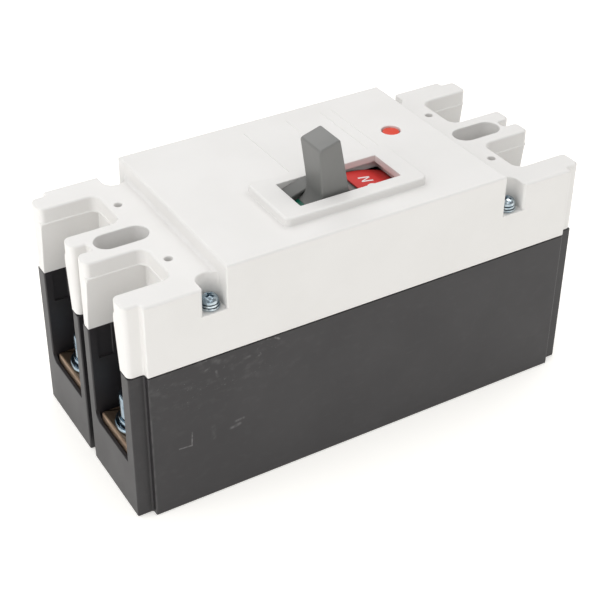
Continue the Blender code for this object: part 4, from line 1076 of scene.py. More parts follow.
@dataclass
class Base:
    """The black base with its terminal compartments."""

    case: Case
    finishes: Finishes
    top: float = 54.2
    floor: float = 17.6
    depth: float = 24.5
    nose: float = 0.5
    slot_nose: float = 0.5
    front: float = 19.0
    front_thickness: float = 1.2
    front_edge: float = 0.35
    corner: float = 3.2
    foot: float = 0.25
    rim: float = 0.22
    room_corner: float = 1.2
    ledge: float = 42.2
    ledge_step: float = 0.7
    ledge_reach: Point = (2.8, 8.0)
    ledge_corner: float = 0.3
    bite: float = 0.6
    chamber_x: float = 48.0
    chamber_y: float = 33.75
    chamber_corner: float = 1.5
    pole_wall: float = 4.0
    deep_x: Point = (-18.1, 19.9)
    deep_floor: float = 4.0
    deep_corner: float = 1.0
    bar_half: float = 11.0
    bar_slot: Point = (47.0, 59.5)
    bar_top: float = 22.2
    well_floor: float = 8.0
    mount_radius: float = 2.75
    bolt_bottom: float = 9.6
    screw_bottom: float = 38.5
    notches: tuple[Triple, ...] = ((12.0, 30.0, 5.3), (44.0, 50.0, 2.8))
    notch_half: float = 3.0

    def compartments(self) -> list[Blank]:
        """The terminal compartments, each with a ledge in its upper part.

        Returns:
            The solids to cut out.
        """
        case = self.case
        inner = case.half_length - self.depth
        rooms = []
        for end, pole in case.terminals():
            lower = case.mouth(end, pole, case.terminal_half, inner, self.room_corner, self.nose)
            rooms.append(Blank.prism("room", lower, self.floor, self.top + 2 * PAST))
            wide, y = case.terminal_half + self.ledge_step, pole.value * case.pole
            start, stop = sorted(end.value * (case.half_length - far) for far in self.ledge_reach)
            upper = rectangle((start, y - wide), (stop, y + wide), self.ledge_corner)
            rooms.append(Blank.prism("ledge", upper, self.ledge, self.top + 3 * PAST))
        return rooms

    def fronts(self) -> list[Blank]:
        """The low wall in front of each bar, with a fillet where it meets the compartment's +Y wall.

        Returns:
            The solids to join, which bite into the floor and the walls.
        """
        walls = []
        radius, face = self.corner, self.case.half_length
        low, reach = self.floor - self.bite, self.case.terminal_half + self.bite
        for end, pole in self.case.terminals():
            middle = pole.value * self.case.pole
            centre = (middle + self.case.terminal_half - radius, self.front + radius)
            curve = arc(centre, radius, 0, -90, 8)
            outer, inner = middle + reach, middle - reach
            outline = [(outer, curve[0][1]), *curve, (inner, self.front), (inner, low), (outer, low)]
            start, stop = sorted((end.value * face, end.value * (face - self.front_thickness)))
            wall = Blank.prism("front", outline, start, stop, Axis.X)
            walls.append(wall.soften(self.front_radius, 3, 20))
        return walls

    def front_radius(self, ridge: Ridge) -> float:
        """How much an edge of a front wall is rounded."""
        upper = ridge.middle.z > self.front - 0.1 and not ridge.upright
        return self.front_edge if upper and abs(ridge.middle.x) > self.case.half_length - 0.1 else 0.0

    def hollows(self) -> list[Blank]:
        """The chambers, the bars' slots, the wells, the holes and the notches between the poles.

        Returns:
            The solids to cut out.
        """
        case = self.case
        tools = []
        for pole in Pole:
            low, high = sorted((pole.value * self.pole_wall / 2, pole.value * self.chamber_y))
            room = rectangle((-self.chamber_x, low), (self.chamber_x, high), self.chamber_corner)
            tools.append(Blank.prism("chamber", room, self.floor, self.top + PAST))
            room = rectangle((self.deep_x[0], low), (self.deep_x[1], high), self.deep_corner)
            tools.append(Blank.prism("deep", room, self.deep_floor, self.floor + PAST))
        for end, pole in case.terminals():
            start, stop = sorted(end.value * x for x in self.bar_slot)
            y = pole.value * case.pole
            slot = rectangle((start, y - self.bar_half), (stop, y + self.bar_half))
            tools.append(Blank.prism("bar_slot", slot, self.floor - Blank.WELD, self.bar_top))
            hole = circle(case.bolt_place(end, pole), case.bolt_hole)
            tools.append(Blank.prism("bolt_hole", hole, self.bolt_bottom, self.floor + PAST))
        tools += case.wells(self.well_floor, self.top, self.rim)
        for end in End:
            hole = circle((end.value * case.well_x, 0), self.mount_radius, 32)
            tools.append(Blank.prism("mount", hole, -2 * PAST, self.well_floor + PAST))
        tools += case.screw_holes(self.screw_bottom, self.top + 2 * PAST)
        for x, z, radius in self.notches:
            above = self.top + 2 * PAST
            notch = [(x + radius, above), (x - radius, above), *arc((x, z), radius, 180, 360, 16)]
            tools.append(Blank.prism("notch", notch, -self.notch_half, self.notch_half, Axis.Y))
        return tools

    def build(self) -> None:
        """Builds the base and puts it on the housing."""
        plan = replace(self.case, nose=self.nose, slot_nose=self.slot_nose)
        base = Blank.stack("case_base", plan.outline, eased(0.0, self.top, self.foot, self.rim))
        base.cut(*self.compartments())
        base.cut(*self.hollows())
        base.join(*self.fronts())
        base.ship("housing", self.finishes[Slot.BLACK], Slot.BLACK, ["base_housing"])


@dataclass
class Cover:
    """The white cover with its bezel, terminal entries, wells and screw pockets."""

    case: Case
    finishes: Finishes
    bottom: float = 54.5
    end_top: float = 79.8
    top: float = 85.0
    step_x: float = 50.8
    foot: float = 1.2
    rim: float = 0.9
    block_rim: float = 0.75
    pocket_rim: float = 0.5
    sharp_rim: float = 0.001
    well_rim: float = 0.4
    small_rim: float = 0.4
    seam_rim: float = 0.25
    bezel_foot: float = 0.35
    bezel_rim: float = 0.7
    bezel_corner: float = 1.9
    window_rim: float = 0.3
    lip: float = 74.0
    bead: float = 0.3
    entry_half: float = 9.3
    entry_inner: float = 63.4
    entry_radius: float = 3.4
    entry_nose: float = 1.85
    entry_rim: float = 0.8
    relief_half: Point = (11.65, 9.4)
    relief_inner: Point = (62.4, 63.0)
    relief_radius: float = 0.6
    line_nose: float = 0.3
    load_nose: float = 1.5
    cavity_x: float = 47.8
    cavity_y: float = 33.75
    cavity_top: float = 82.0
    cavity_corner: float = 1.5
    shutter_corner: float = 0.8
    window_corner: float = 0.3
    bezel: Bounds = (-25.3, -28.5, 26.2, -3.5)
    bezel_top: float = 88.0
    shutter: Bounds = (-22.55, -25.75, 21.95, -6.25)
    window: Bounds = (-17.5, -23.45, 19.3, -8.55)
    lid: float = 85.7
    pocket_radius: float = 3.9
    pocket_ease: float = 1.2
    pocket_floor: float = 70.1
    blind_x: float = 60.0
    blind_radius: float = 1.3
    blind_depth: float = 8.0
    button_hole: float = 3.3
    rule_half: float = 0.16
    rule_height: float = 0.16
    rule_root: float = 0.05
    rule_corner: float = 0.15
    rule_edge: float = 0.07
    rules: tuple[Triple, ...] = (
        (-7.4, 0.6, 30.4),
        (9.4, 8.0, 30.6),
        (22.7, 0.2, 30.2),
        (27.0, 0.2, 30.2),
    )

    def entries(self) -> list[Blank]:
        """The openings over the terminals: a band with a beaded lip above a relief that widens downwards.

        Returns:
            The solids to cut out.
        """
        case = self.case
        tools = []
        for end, pole in case.terminals():
            nose = self.line_nose if end is End.LINE else self.load_nose
            rings = []
            heights = (self.bottom - PAST / 2, self.lip)
            for half, inner, height in zip(self.relief_half, self.relief_inner, heights):
                outline = case.mouth(end, pole, half, inner, self.relief_radius, nose)
                rings.append([(x, y, height) for x, y in outline])
            tools.append(Blank.loft("relief", rings))
            size = (self.entry_half, self.entry_inner, self.entry_radius, self.entry_nose)
            edge = self.lip + self.bead
            levels = [(self.lip - PAST, -self.bead), (edge, -self.bead), (edge + self.bead, 0.0)]
            levels += flared(self.lip + PAST, self.end_top, self.entry_rim)
            tools.append(Blank.stack("band", partial(case.mouth, end, pole, *size), levels))
        return tools

    def pocket(self, end: End, pole: Pole, grow: float = 0.0) -> list[Point]:
        """A screw pocket from above, half-round inside and open at the long side.

        Args:
            end: which end.
            pole: which pole.
            grow: how far it is widened.

        Returns:
            The outline's points.
        """
        radius = self.pocket_radius + grow
        x, y = end.value * self.case.screw_x, self.case.screw_y
        side = self.case.half_width
        ease = self.pocket_ease - grow
        reach = radius + ease
        mouth = arc((reach, side - ease), ease, 90, 180, 5)
        half = [(x + reach, side + 2 * PAST)] + [(x + px, py) for px, py in mouth]
        half += arc((x, y), radius, 0, -180, 20)
        half += [(x - px, py) for px, py in reversed(mouth)] + [(x - reach, side + 2 * PAST)]
        return [(px, pole.value * py) for px, py in half]

    def pockets(self, rim: float) -> list[Blank]:
        """The screw pockets to cut out, with rims of a given radius."""
        levels = flared(self.pocket_floor, self.end_top, rim)
        return [Blank.stack("pocket", partial(self.pocket, *at), levels) for at in self.case.terminals()]

    def blind_holes(self) -> list[Blank]:
        """The small blind holes behind the terminal entries.

        Returns:
            The solids to cut out.
        """
        levels = flared(self.end_top - self.blind_depth, self.end_top, self.small_rim)
        tools = []
        for end, pole in self.case.terminals():
            place = (end.value * self.blind_x, pole.value * self.case.pole)
            tools.append(Blank.stack("blind", partial(self.hole, place, self.blind_radius), levels))
        return tools

    def hole(self, place: Point, radius: float, grow: float) -> list[Point]:
        """A round hole from above, widened by a distance."""
        return circle(place, radius + grow, 32)

    def panel(self, bounds: Bounds, radius: float, grow: float) -> list[Point]:
        """A rectangle from above.

        Args:
            bounds: its lowest X and Y and its greatest X and Y.
            radius: the radius of its corners.
            grow: how far it is widened.

        Returns:
            The outline's points.
        """
        low_x, low_y, high_x, high_y = bounds
        corner = max(radius + grow, self.case.least_edge)
        return rectangle((low_x - grow, low_y - grow), (high_x + grow, high_y + grow), corner, 5)

    def raised(self) -> Blank:
        """The raised middle with fillets at the feet of its two steps.

        Returns:
            The solid.
        """
        side = self.case.half_width
        shape = partial(self.panel, (-self.step_x, -side, self.step_x, side), self.case.edge)
        middle = Blank.stack("raised", shape, eased(self.bottom + 2 * PAST, self.top, 0.0, self.block_rim))
        root, low, high = self.step_x - PAST, self.end_top - PAST, self.end_top + self.foot
        curve = arc((self.step_x + self.foot, high), self.foot, 180, 270, 6)
        section = [(root, high), *curve, (curve[-1][0], low), (root, low)]
        inset = side - self.case.least_edge
        feet = []
        for end in End:
            foot = Blank.prism("foot", [(end.value * x, z) for x, z in section], -inset, inset, Axis.Y)
            feet.append(foot.cut(*self.pockets(self.sharp_rim)))
        return middle.join(*feet)

    def bezel_block(self) -> Blank:
        """The bezel with a small fillet at its foot.

        Returns:
            The solid.
        """
        fillet = [(self.top + up, self.bezel_foot - inset) for up, inset in quarter(self.bezel_foot)]
        levels = [(self.top - PAST, self.bezel_foot), *fillet]
        levels += [(self.bezel_top - self.bezel_rim + up, -inset) for inset, up in quarter(self.bezel_rim)]
        return Blank.stack("bezel", partial(self.panel, self.bezel, self.bezel_corner), levels)

    def rule_marks(self) -> None:
        """Thin raised rules of the blank rating field beside the handle."""
        strips = []
        half, top = self.rule_half, self.top + self.rule_height
        for x, low, high in self.rules:
            outline = rectangle((x - half, low), (x + half, high), self.rule_corner, 3)
            strips.append(Blank.prism("rating_rules", outline, self.top - self.rule_root, top))
        first = strips[0].join(*strips[1:])
        first.soften(lambda ridge: self.rule_edge if ridge.middle.z > self.top + 0.1 else 0.0, 2)
        first.ship("housing", self.finishes[Slot.WHITE], Slot.WHITE)

    def build(self) -> None:
        """Builds the cover and puts it on the housing."""
        levels = eased(self.bottom, self.end_top, self.seam_rim, self.rim)
        cover = Blank.stack("case_cover", self.case.outline, levels)
        cover.cut(*self.entries(), *self.case.wells(self.bottom - 2 * PAST, self.end_top, self.well_rim))
        cover.cut(*self.pockets(self.pocket_rim), *self.blind_holes())
        cover.join(self.raised(), self.bezel_block())
        inside = rectangle(
            (-self.cavity_x, -self.cavity_y), (self.cavity_x, self.cavity_y), self.cavity_corner
        )
        shutter = self.panel(self.shutter, self.shutter_corner, 0.0)
        window = partial(self.panel, self.window, self.window_corner)
        button = partial(self.hole, self.case.button, self.button_hole)
        roof = self.cavity_top - PAST
        cover.cut(
            Blank.prism("cavity", inside, self.bottom - PAST, self.cavity_top),
            Blank.prism("shutter", shutter, roof, self.lid),
            Blank.stack("window", window, flared(self.lid - PAST / 2, self.bezel_top, self.window_rim)),
            Blank.stack("button", button, flared(roof, self.top, self.window_rim)),
        )
        cover.cut(*self.case.screw_holes(self.bottom - PAST, self.pocket_floor + PAST))
        cover.ship("housing", self.finishes[Slot.WHITE], Slot.WHITE, ["cover"])
        self.rule_marks()


@dataclass(frozen=True)
class SplitWasher:
    """A split spring washer, sprung open a little along its axis."""

    inner: float
    outer: float
    low: float
    high: float
    split: float
    spring_share: float = 0.18
    corner_share: float = 0.16
    steps: int = 44

    def make(self, name: str, place: Point) -> Blank:
        """Sweeps the washer's section round its axis.

        Args:
            name: the object's name.
            place: where its axis stands.

        Returns:
            The solid.
        """
        height = self.high - self.low
        spring = height * self.spring_share
        thick = height - spring
        section = rectangle((self.inner, 0.0), (self.outer, thick), thick * self.corner_share, 2)
        angles = (self.split / 2, 360 - self.split / 2)
        return Blank.spiral(name, section, place, angles, (self.low, self.low + spring), self.steps)


@dataclass
class CoverScrews:
    """Pan-head screws with cross recesses, each on a split and a plain washer, in the cover's pockets."""

    case: Case
    finishes: Finishes
    head: float = 72.2
    rise: float = 2.2
    head_radius: float = 2.8
    head_edge: float = 0.15
    shank_radius: float = 2.0
    tip: float = 38.8
    neck: float = 3.0
    pitch: float = 0.7
    thread_depth: float = 0.32
    recess: float = 1.5
    recess_edge: float = 0.08
    blade_turns: Point = (25.0, 115.0)
    blade_foot: Point = (0.75, 0.28)
    blade_top: Point = (1.85, 0.45)
    split_washer: SplitWasher = SplitWasher(2.3, 2.95, 71.2, 72.05, 14.0)
    plain_washer: Bounds = (2.3, 3.15, 70.3, 71.05)
    plain_edge: float = 0.12

    def profile(self) -> list[Point]:
        """The screw's outline from its crown down to its tip.

        Returns:
            Radius and height of each point.
        """
        top, radius, shank = self.head + self.rise, self.head_radius, self.shank_radius
        crown = [(0.0, top), (0.8, top - 0.02), (1.5, top - 0.12), (2.1, top - 0.36), (2.45, top - 0.7)]
        side = [(2.68, top - 1.1), (radius, top - 1.5), (radius, self.head + self.head_edge)]
        under = [(radius - self.head_edge, self.head), (shank, self.head)]
        turns = thread(shank, self.thread_depth, self.head - self.neck, self.tip, self.pitch)
        end = [(shank - 0.4, self.tip + 0.5), (1.0, self.tip), (0.0, self.tip)]
        return crown + side + under + turns + end

    def build(self) -> None:
        """Builds the four screws and their washers."""
        finish = self.finishes.screw
        for end, pole in self.case.terminals():
            corner, place = label(end, pole), self.case.screw_place(end, pole)
            screw = Blank.turned(f"pan_screw_{corner}", self.profile(), place, 32)
            screw.cut(*[self.blade(place, turn) for turn in self.blade_turns])
            screw.soften(self.edge_radius, 2, 40)
            screw.ship("housing", finish, Slot.ZINC, [f"cover_screw_{corner}"])
            washers = self.split_washer.make(f"pan_washer_{corner}", place).join(self.plate(place))
            washers.ship("housing", finish, Slot.ZINC, [f"cover_spring_washer_{corner}"])

    def edge_radius(self, ridge: Ridge) -> float:
        """How much an edge of a screw's head is rounded."""
        return self.recess_edge if ridge.convex and ridge.middle.z > self.head + 1 else 0.0

    def plate(self, place: Point) -> Blank:
        """The plain washer under the split one.

        Args:
            place: where its axis stands.

        Returns:
            The solid.
        """
        inner, outer, low, high = self.plain_washer
        rim = [(outer, high - self.plain_edge), (outer - self.plain_edge, high)]
        return Blank.hoop("plate", [(inner, low), (outer, low), *rim, (inner, high)], place, 32)

    def blade(self, place: Point, turn: float) -> Blank:
        """One blade of the cross recess, tapering downwards.

        Args:
            place: the screw's axis.
            turn: the blade's direction in degrees.

        Returns:
            The solid to cut out.
        """
        top = self.head + self.rise
        rings = []
        for (reach, half), height in ((self.blade_foot, top - self.recess), (self.blade_top, top + 0.3)):
            ring = []
            for x, y in ((reach, half), (-reach, half), (-reach, -half), (reach, -half)):
                spoke = Vector((x, y))
                spoke.rotate(Matrix.Rotation(math.radians(turn), 2))
                ring.append((place[0] + spoke.x, place[1] + spoke.y, height))
            rings.append(ring)
        return Blank.loft("blade", rings)


@dataclass
class Terminals:
    """Copper bars with socket-head bolts on spring and flat washers."""

    case: Case
    finishes: Finishes
    bar_half: float = 10.7
    bar_low: float = 17.9
    bar_high: float = 21.9
    bar_outer: float = 81.5
    bar_inner: Point = (19.1, 20.9)
    bar_corner: float = 0.7
    bar_back_corner: float = 0.4
    bar_edge: float = 0.4
    bar_end_edge: float = 0.75
    flat_washer: Bounds = (4.3, 8.2, 22.2, 23.7)
    flat_edge: float = 0.35
    spring_washer: SplitWasher = SplitWasher(4.3, 7.1, 24.0, 25.9, 13.0)
    head: Triple = (6.5, 26.2, 34.2)
    head_edge: float = 0.3
    shank_radius: float = 4.0
    tip: float = 9.9
    tip_radius: float = 2.6
    neck: float = 4.0
    pitch: float = 1.25
    thread_depth: float = 0.6
    socket: float = 3.0
    socket_depth: float = 4.5
    socket_rim: float = 0.9

    def bar(self, end: End, pole: Pole) -> Blank:
        """A bar with rounded edges and its bolt hole.

        Args:
            end: which end.
            pole: which pole.

        Returns:
            The solid.
        """
        inner = self.bar_inner[0] if end is End.LINE else self.bar_inner[1]
        y, half = pole.value * self.case.pole, self.bar_half
        corners = [
            Corner(inner, y - half, self.bar_back_corner),
            Corner(self.bar_outer, y - half, self.bar_corner),
            Corner(self.bar_outer, y + half, self.bar_corner),
            Corner(inner, y + half, self.bar_back_corner),
        ]
        outline = [(end.value * px, py) for px, py in rounded(corners, 6)]
        bar = Blank.prism(f"copper_bar_{label(end, pole)}", outline, self.bar_low, self.bar_high)
        hole = circle(self.case.bolt_place(end, pole), self.case.bolt_hole)
        bar.cut(Blank.prism("hole", hole, self.bar_low - PAST, self.bar_high + PAST))
        return bar.soften(self.edge_radius)

    def edge_radius(self, ridge: Ridge) -> float:
        """How much an edge of a bar is rounded, more at its outer end."""
        outer = abs(ridge.middle.x) > self.bar_outer - self.bar_corner + 0.1
        return (self.bar_end_edge if outer else self.bar_edge) if ridge.level else 0.0

    def bolt(self, name: str, place: Point) -> Blank:
        """A socket-head bolt with a threaded shank.

        Args:
            name: the object's name.
            place: where its axis stands.

        Returns:
            The solid.
        """
        radius, low, high = self.head
        edge, shank = self.head_edge, self.shank_radius
        crown = [(radius - 1.0, high), (radius - 0.55, high - 0.12), (radius - 0.2, high - 0.42)]
        side = [(radius, high - 0.9), (radius, low + edge), (radius - edge, low), (shank, low)]
        turns = thread(shank, self.thread_depth, low - self.neck, self.tip, self.pitch)
        end = [(shank - 0.7, self.tip + 0.6), (self.tip_radius, self.tip), (0.0, self.tip)]
        bolt = Blank.turned(name, [(0.0, high), *crown, *side, *turns, *end], place, 48)
        across = self.socket / math.cos(math.pi / 6)
        levels = [(high - self.socket_depth, 0.0), (high - 0.5, 0.0), (high + 0.5, self.socket_rim)]
        return bolt.cut(Blank.stack("socket", lambda grow: circle(place, across + grow, 6), levels))

    def build(self) -> None:
        """Builds the bars, bolts and washers of every terminal."""
        # The bolts' zinc, with painted shade of the compartments darkened into its tone
        zinc = self.finishes[Slot.ZINC]
        inner, outer, low, high = self.flat_washer
        section = rectangle((inner, low), (outer, high), self.flat_edge, 3)
        for end, pole in self.case.terminals():
            corner, place = label(end, pole), self.case.bolt_place(end, pole)
            node = f"{end.name}_bar_{pole.name}".lower()
            self.bar(end, pole).ship("housing", self.finishes[Slot.COPPER], Slot.COPPER, [node])
            bolt = self.bolt(f"socket_bolt_{corner}", place)
            bolt.ship("housing", zinc, Slot.ZINC, [f"terminal_bolt_{corner}"])
            spring = self.spring_washer.make(f"split_washer_{corner}", place)
            spring.ship("housing", zinc, Slot.ZINC, [f"terminal_spring_washer_{corner}"])
            flat = Blank.hoop(f"flat_washer_{corner}", section, place, 48)
            flat.ship("housing", zinc, Slot.ZINC, [f"terminal_flat_washer_{corner}"])


@dataclass
class Handle:
    """The grey lever on its curved shutter, with the red and green fields and their words."""

    finishes: Finishes
    pivot: Point = (0.9, 42.0)
    tilt: float = -6.5
    middle: float = -16.0
    shutter_radius: float = 42.4
    shutter_thickness: float = 2.0
    shutter_half: float = 9.25
    shutter_from: float = -40.0
    shutter_to: float = 36.6
    top_radius: float = 63.1
    top_slope: float = 0.15
    top_soft: Point = (1.1, 0.6)
    top_half: float = 3.85
    neck_half: float = 4.85
    near_side: Point = (-22.45, -21.85)
    far_side: Point = (-12.9, -10.15)
    lean_from: float = 49.0
    flare: float = 4.8
    flare_angle: float = 252.0
    root: float = 3.0
    root_share: float = 0.69
    corner: float = 0.5
    pad: Point = (-12.95, -8.75)
    pad_radii: Point = (45.4, 46.9)
    pad_span: Point = (-19.5, -3.0)
    pad_thickness: float = 0.8
    pad_undercut: float = 1.6
    pad_root: float = 0.6
    boss: Point = (4.0, 5.0)
    boss_corner: float = 0.6
    boss_low: float = 36.3
    edge: float = 0.25
    edge_reach: float = 5.0
    field_edge: float = 0.12
    field_gap: float = 0.3
    field_thickness: float = 0.5
    field_lift: float = 1.7
    on_field: Bounds = (13.7, 35.4, -24.05, -8.6)
    off_field: Bounds = (-38.4, -10.7, -24.05, -12.75)

    def place(self) -> Matrix:
        """The handle's own axes in the frame at rest."""
        turn = Matrix.Rotation(math.radians(self.tilt), 4, "Y")
        return Matrix.Translation((self.pivot[0], 0.0, self.pivot[1])) @ turn

    def section(self, sides: Point, height: float, heights: Point, inset: float = 0.0) -> list[Triple]:
        """A section through the lever, whose far side leans outwards towards the top.

        Args:
            sides: the X of its two sides.
            height: the height at which its near and far sides are taken.
            heights: the heights of its two sides.
            inset: how far the near and far sides are drawn in.

        Returns:
            The ring's points.
        """
        share = share_of(height, self.lean_from, self.top_radius)
        near, far = (low + (high - low) * share for low, high in (self.near_side, self.far_side))
        left, right = sides
        outline = rectangle((left, near + inset), (right, far - inset), self.corner, 4)
        fall = (heights[1] - heights[0]) / (right - left)
        return [(x, y, heights[0] + fall * (x - left)) for x, y in outline]

    def lever(self) -> Blank:
        """The lever: a flared foot, a tapering neck and a sloping top with a soft edge at the left.

        Returns:
            The solid.
        """
        foot = self.shutter_radius
        neck = foot + self.flare
        levels = [(foot - self.root, self.neck_half + self.flare * self.root_share)]
        curve = arc((self.neck_half + self.flare, neck), self.flare, self.flare_angle, 180, 8)
        levels += [(height, reach) for reach, height in curve]
        taper = zip(evenly(neck, self.top_radius, 6), evenly(self.neck_half, self.top_half, 6))
        levels += list(taper)[1:-1]
        rings = []
        for height, half in levels:
            rise = self.top_slope * half * share_of(height, neck, self.top_radius)
            rings.append(self.section((-half, half), height, (height - rise, height + rise)))
        rise = self.top_slope * self.top_half
        left, right = self.top_soft
        for inset, up in quarter(1.0, 5):
            sides = (left * inset - self.top_half, self.top_half - right * inset)
            heights = (self.top_radius - rise - left * (1 - up), self.top_radius + rise - right * (1 - up))
            rings.append(self.section(sides, self.top_radius, heights, right * inset))
        return Blank.loft("lever", rings)

    def surface_radius(self, angle: float) -> float:
        """The shutter's radius at an angle; it flattens out under the red field."""
        start, stop = self.on_field[:2]
        return self.shutter_radius + self.field_lift * share_of(angle, start, stop, 1.2)

    def field_radius(self, angle: float) -> float:
        """The radius of a coloured field's face at an angle."""
        return self.surface_radius(angle) + self.field_gap + self.field_thickness

    def sector(self, start: float, stop: float, low: float, high: float, steps: int) -> list[Point]:
        """The outline of a curved plate on the shutter's face.

        Args:
            start: its first angle, from straight up towards +X in degrees.
            stop: its last angle.
            low: the height of its underside over the shutter's face.
            high: the height of its face over the shutter's face.
            steps: how many chords it has.

        Returns:
            The outline's points.
        """
        angles = evenly(start, stop, steps)
        points = []
        for angle, height in [(a, high) for a in angles] + [(a, low) for a in reversed(angles)]:
            radius = self.surface_radius(angle) + height
            turn = math.radians(angle)
            points.append((radius * math.sin(turn), radius * math.cos(turn)))
        return points

    def pad_solid(self) -> Blank:
        """The curved pad beside the lever, higher at the far side and undercut at its near edge.

        Returns:
            The solid.
        """
        near, far = self.pad
        low, high = self.pad_radii
        root = self.shutter_radius - self.pad_root
        under = low - self.pad_thickness
        inset = near + self.pad_undercut
        section = [(near, low), (far, high), (far, root), (inset, root), (inset, under), (near, under)]
        rings = []
        for angle in evenly(*self.pad_span, 12):
            turn = math.radians(angle)
            rings.append([(radius * math.sin(turn), y, radius * math.cos(turn)) for y, radius in section])
        return Blank.loft("pad", rings)

    def seated(self, blank: Blank) -> Blank:
        """Puts a solid from the handle's own axes into the frame."""
        blank.thing.data.transform(self.place())
        return blank

    def grey_piece(self) -> None:
        """Joins the lever, shutter, pad and boss, and puts them on the handle."""
        inner = self.shutter_radius - self.shutter_thickness
        curve = self.sector(self.shutter_from, self.shutter_to, -self.shutter_thickness, 0.0, 40)
        low, high = -self.middle - self.shutter_half, -self.middle + self.shutter_half
        plate = Blank.prism("toggle_handle", curve, low, high, Axis.Y)
        along, across = self.boss
        boss = rectangle((-along, self.middle - across), (along, self.middle + across), self.boss_corner)
        plate.join(self.lever(), self.pad_solid(), Blank.prism("boss", boss, self.boss_low, inner + PAST))
        plate.soften(self.edge_radius, 2, 50)
        self.seated(plate).ship("handle", self.finishes[Slot.GREY], Slot.GREY, ["handle"])

    def edge_radius(self, ridge: Ridge) -> float:
        """How much an edge of the grey piece is rounded."""
        return self.edge if ridge.convex and ridge.middle.z > self.shutter_radius - self.edge_reach else 0.0

    def field(self, name: str, span: Bounds, slot: Slot, node: str) -> None:
        """One coloured field on the shutter.

        Args:
            name: the object's name.
            span: its first and last angle, then its lowest and highest Y.
            slot: the record's slot.
            node: the CAD node that it stands for.
        """
        start, stop, low, high = span
        outline = self.sector(start, stop, self.field_gap, self.field_gap + self.field_thickness, 14)
        plate = Blank.prism(name, outline, -high, -low, Axis.Y)
        plate.soften(lambda ridge: self.field_edge if ridge.convex else 0.0, 2, 40)
        self.seated(plate).ship("handle", self.finishes[slot], slot, [node])

    def build(self) -> None:
        """Builds the handle, its fields and their words."""
        self.grey_piece()
        self.field("red_field", self.on_field, Slot.RED, "on_flag")
        self.field("green_field", self.off_field, Slot.GREEN, "off_flag")
        words = Lettering(self.field_radius, self.finishes, self.place())
        words.write(Word("word_on", "ON", angle=20.9, middle=-17.25, height=4.3, width=3.0, gap=1.7))
        words.write(Word("word_off", "OFF", angle=-26.0, middle=-18.4, height=4.0, width=2.6, gap=0.7))


@dataclass(frozen=True)
class Word:
    """A word on the shutter: the angle and Y of its middle, and the sizes of its plain capitals."""

    name: str
    text: str
    angle: float
    middle: float
    height: float
    width: float
    gap: float
    line: float = 0.62
    slant: float = 1.35
    bar_height: float = 0.56
    bar_length: float = 0.86
    ring_steps: int = 28

    def strokes(self, letter: str) -> list[list[Point]]:
        """The outlines of a letter, each a simple closed shape.

        Args:
            letter: O, N or F.

        Returns:
            Outlines in reading direction and height.
        """
        height, width, line = self.height, self.width, self.line
        if letter == "O":
            return self.ring()
        left = rectangle((0.0, 0.0), (line, height))
        if letter == "N":
            right = rectangle((width - line, 0.0), (width, height))
            start, stop, slant = line, width - line, self.slant * line
            return [left, right, [(start, height), (start, height - slant), (stop, 0.0), (stop, slant)]]
        middle, reach = height * self.bar_height, width * self.bar_length
        return [
            left,
            rectangle((line, height - line), (width, height)),
            rectangle((line, middle - line), (reach, middle)),
        ]

    def ring(self) -> list[list[Point]]:
        """The quads of a letter O.

        Returns:
            One outline for each step round it.
        """
        quads = []
        for i in range(self.ring_steps):
            corners = []
            for k, inset in ((i, 0.0), (i + 1, 0.0), (i + 1, self.line), (i, self.line)):
                angle = math.tau * k / self.ring_steps
                across = self.width / 2 + (self.width / 2 - inset) * math.cos(angle)
                up = self.height / 2 + (self.height / 2 - inset) * math.sin(angle)
                corners.append((across, up))
            quads.append(corners)
        return quads

    def flat(self) -> bmesh.types.BMesh:
        """The word as flat faces about its middle, sliced so that it can be bent.

        Returns:
            The faces, along X and Y.
        """
        bm = bmesh.new()
        step = self.width + self.gap
        start = -(len(self.text) * step - self.gap) / 2
        for i, letter in enumerate(self.text):
            for outline in self.strokes(letter):
                places = [(start + i * step + x, y - self.height / 2, 0.0) for x, y in outline]
                bm.faces.new([bm.verts.new(place) for place in places])
        bmesh.ops.remove_doubles(bm, verts=bm.verts, dist=Blank.WELD / 2)
        for k in range(1, 10):
            cut = self.height * (k / 10 - 0.5)
            geometry = bm.verts[:] + bm.edges[:] + bm.faces[:]
            bmesh.ops.bisect_plane(bm, geom=geometry, plane_co=(0, cut, 0), plane_no=(0, 1, 0))
        bmesh.ops.recalc_face_normals(bm, faces=bm.faces)
        return bm


@dataclass
class Lettering:
    """Raised words on the handle's curved fields, reading along Y with their tops towards -X."""

    radius: Callable[[float], float]
    finishes: Finishes
    place: Matrix
    lift: float = 0.05

    def write(self, word: Word) -> None:
        """Raises and bends one word and puts it on the handle.

        Args:
            word: the word.
        """
        bm = word.flat()
        skin = bmesh.ops.extrude_face_region(bm, geom=bm.faces[:])
        for vert in skin["geom"]:
            if isinstance(vert, bmesh.types.BMVert):
                vert.co.z = self.lift
        for vert in bm.verts:
            reading, up, lift = vert.co
            turn = word.angle - math.degrees(up / self.radius(word.angle))
            radius = self.radius(turn) + lift
            turn = math.radians(turn)
            vert.co = (radius * math.sin(turn), word.middle + reading, radius * math.cos(turn))
        letters = Blank(word.name, bm)
        letters.thing.data.transform(self.place)
        letters.ship("handle", self.finishes.print, Slot.WHITE)


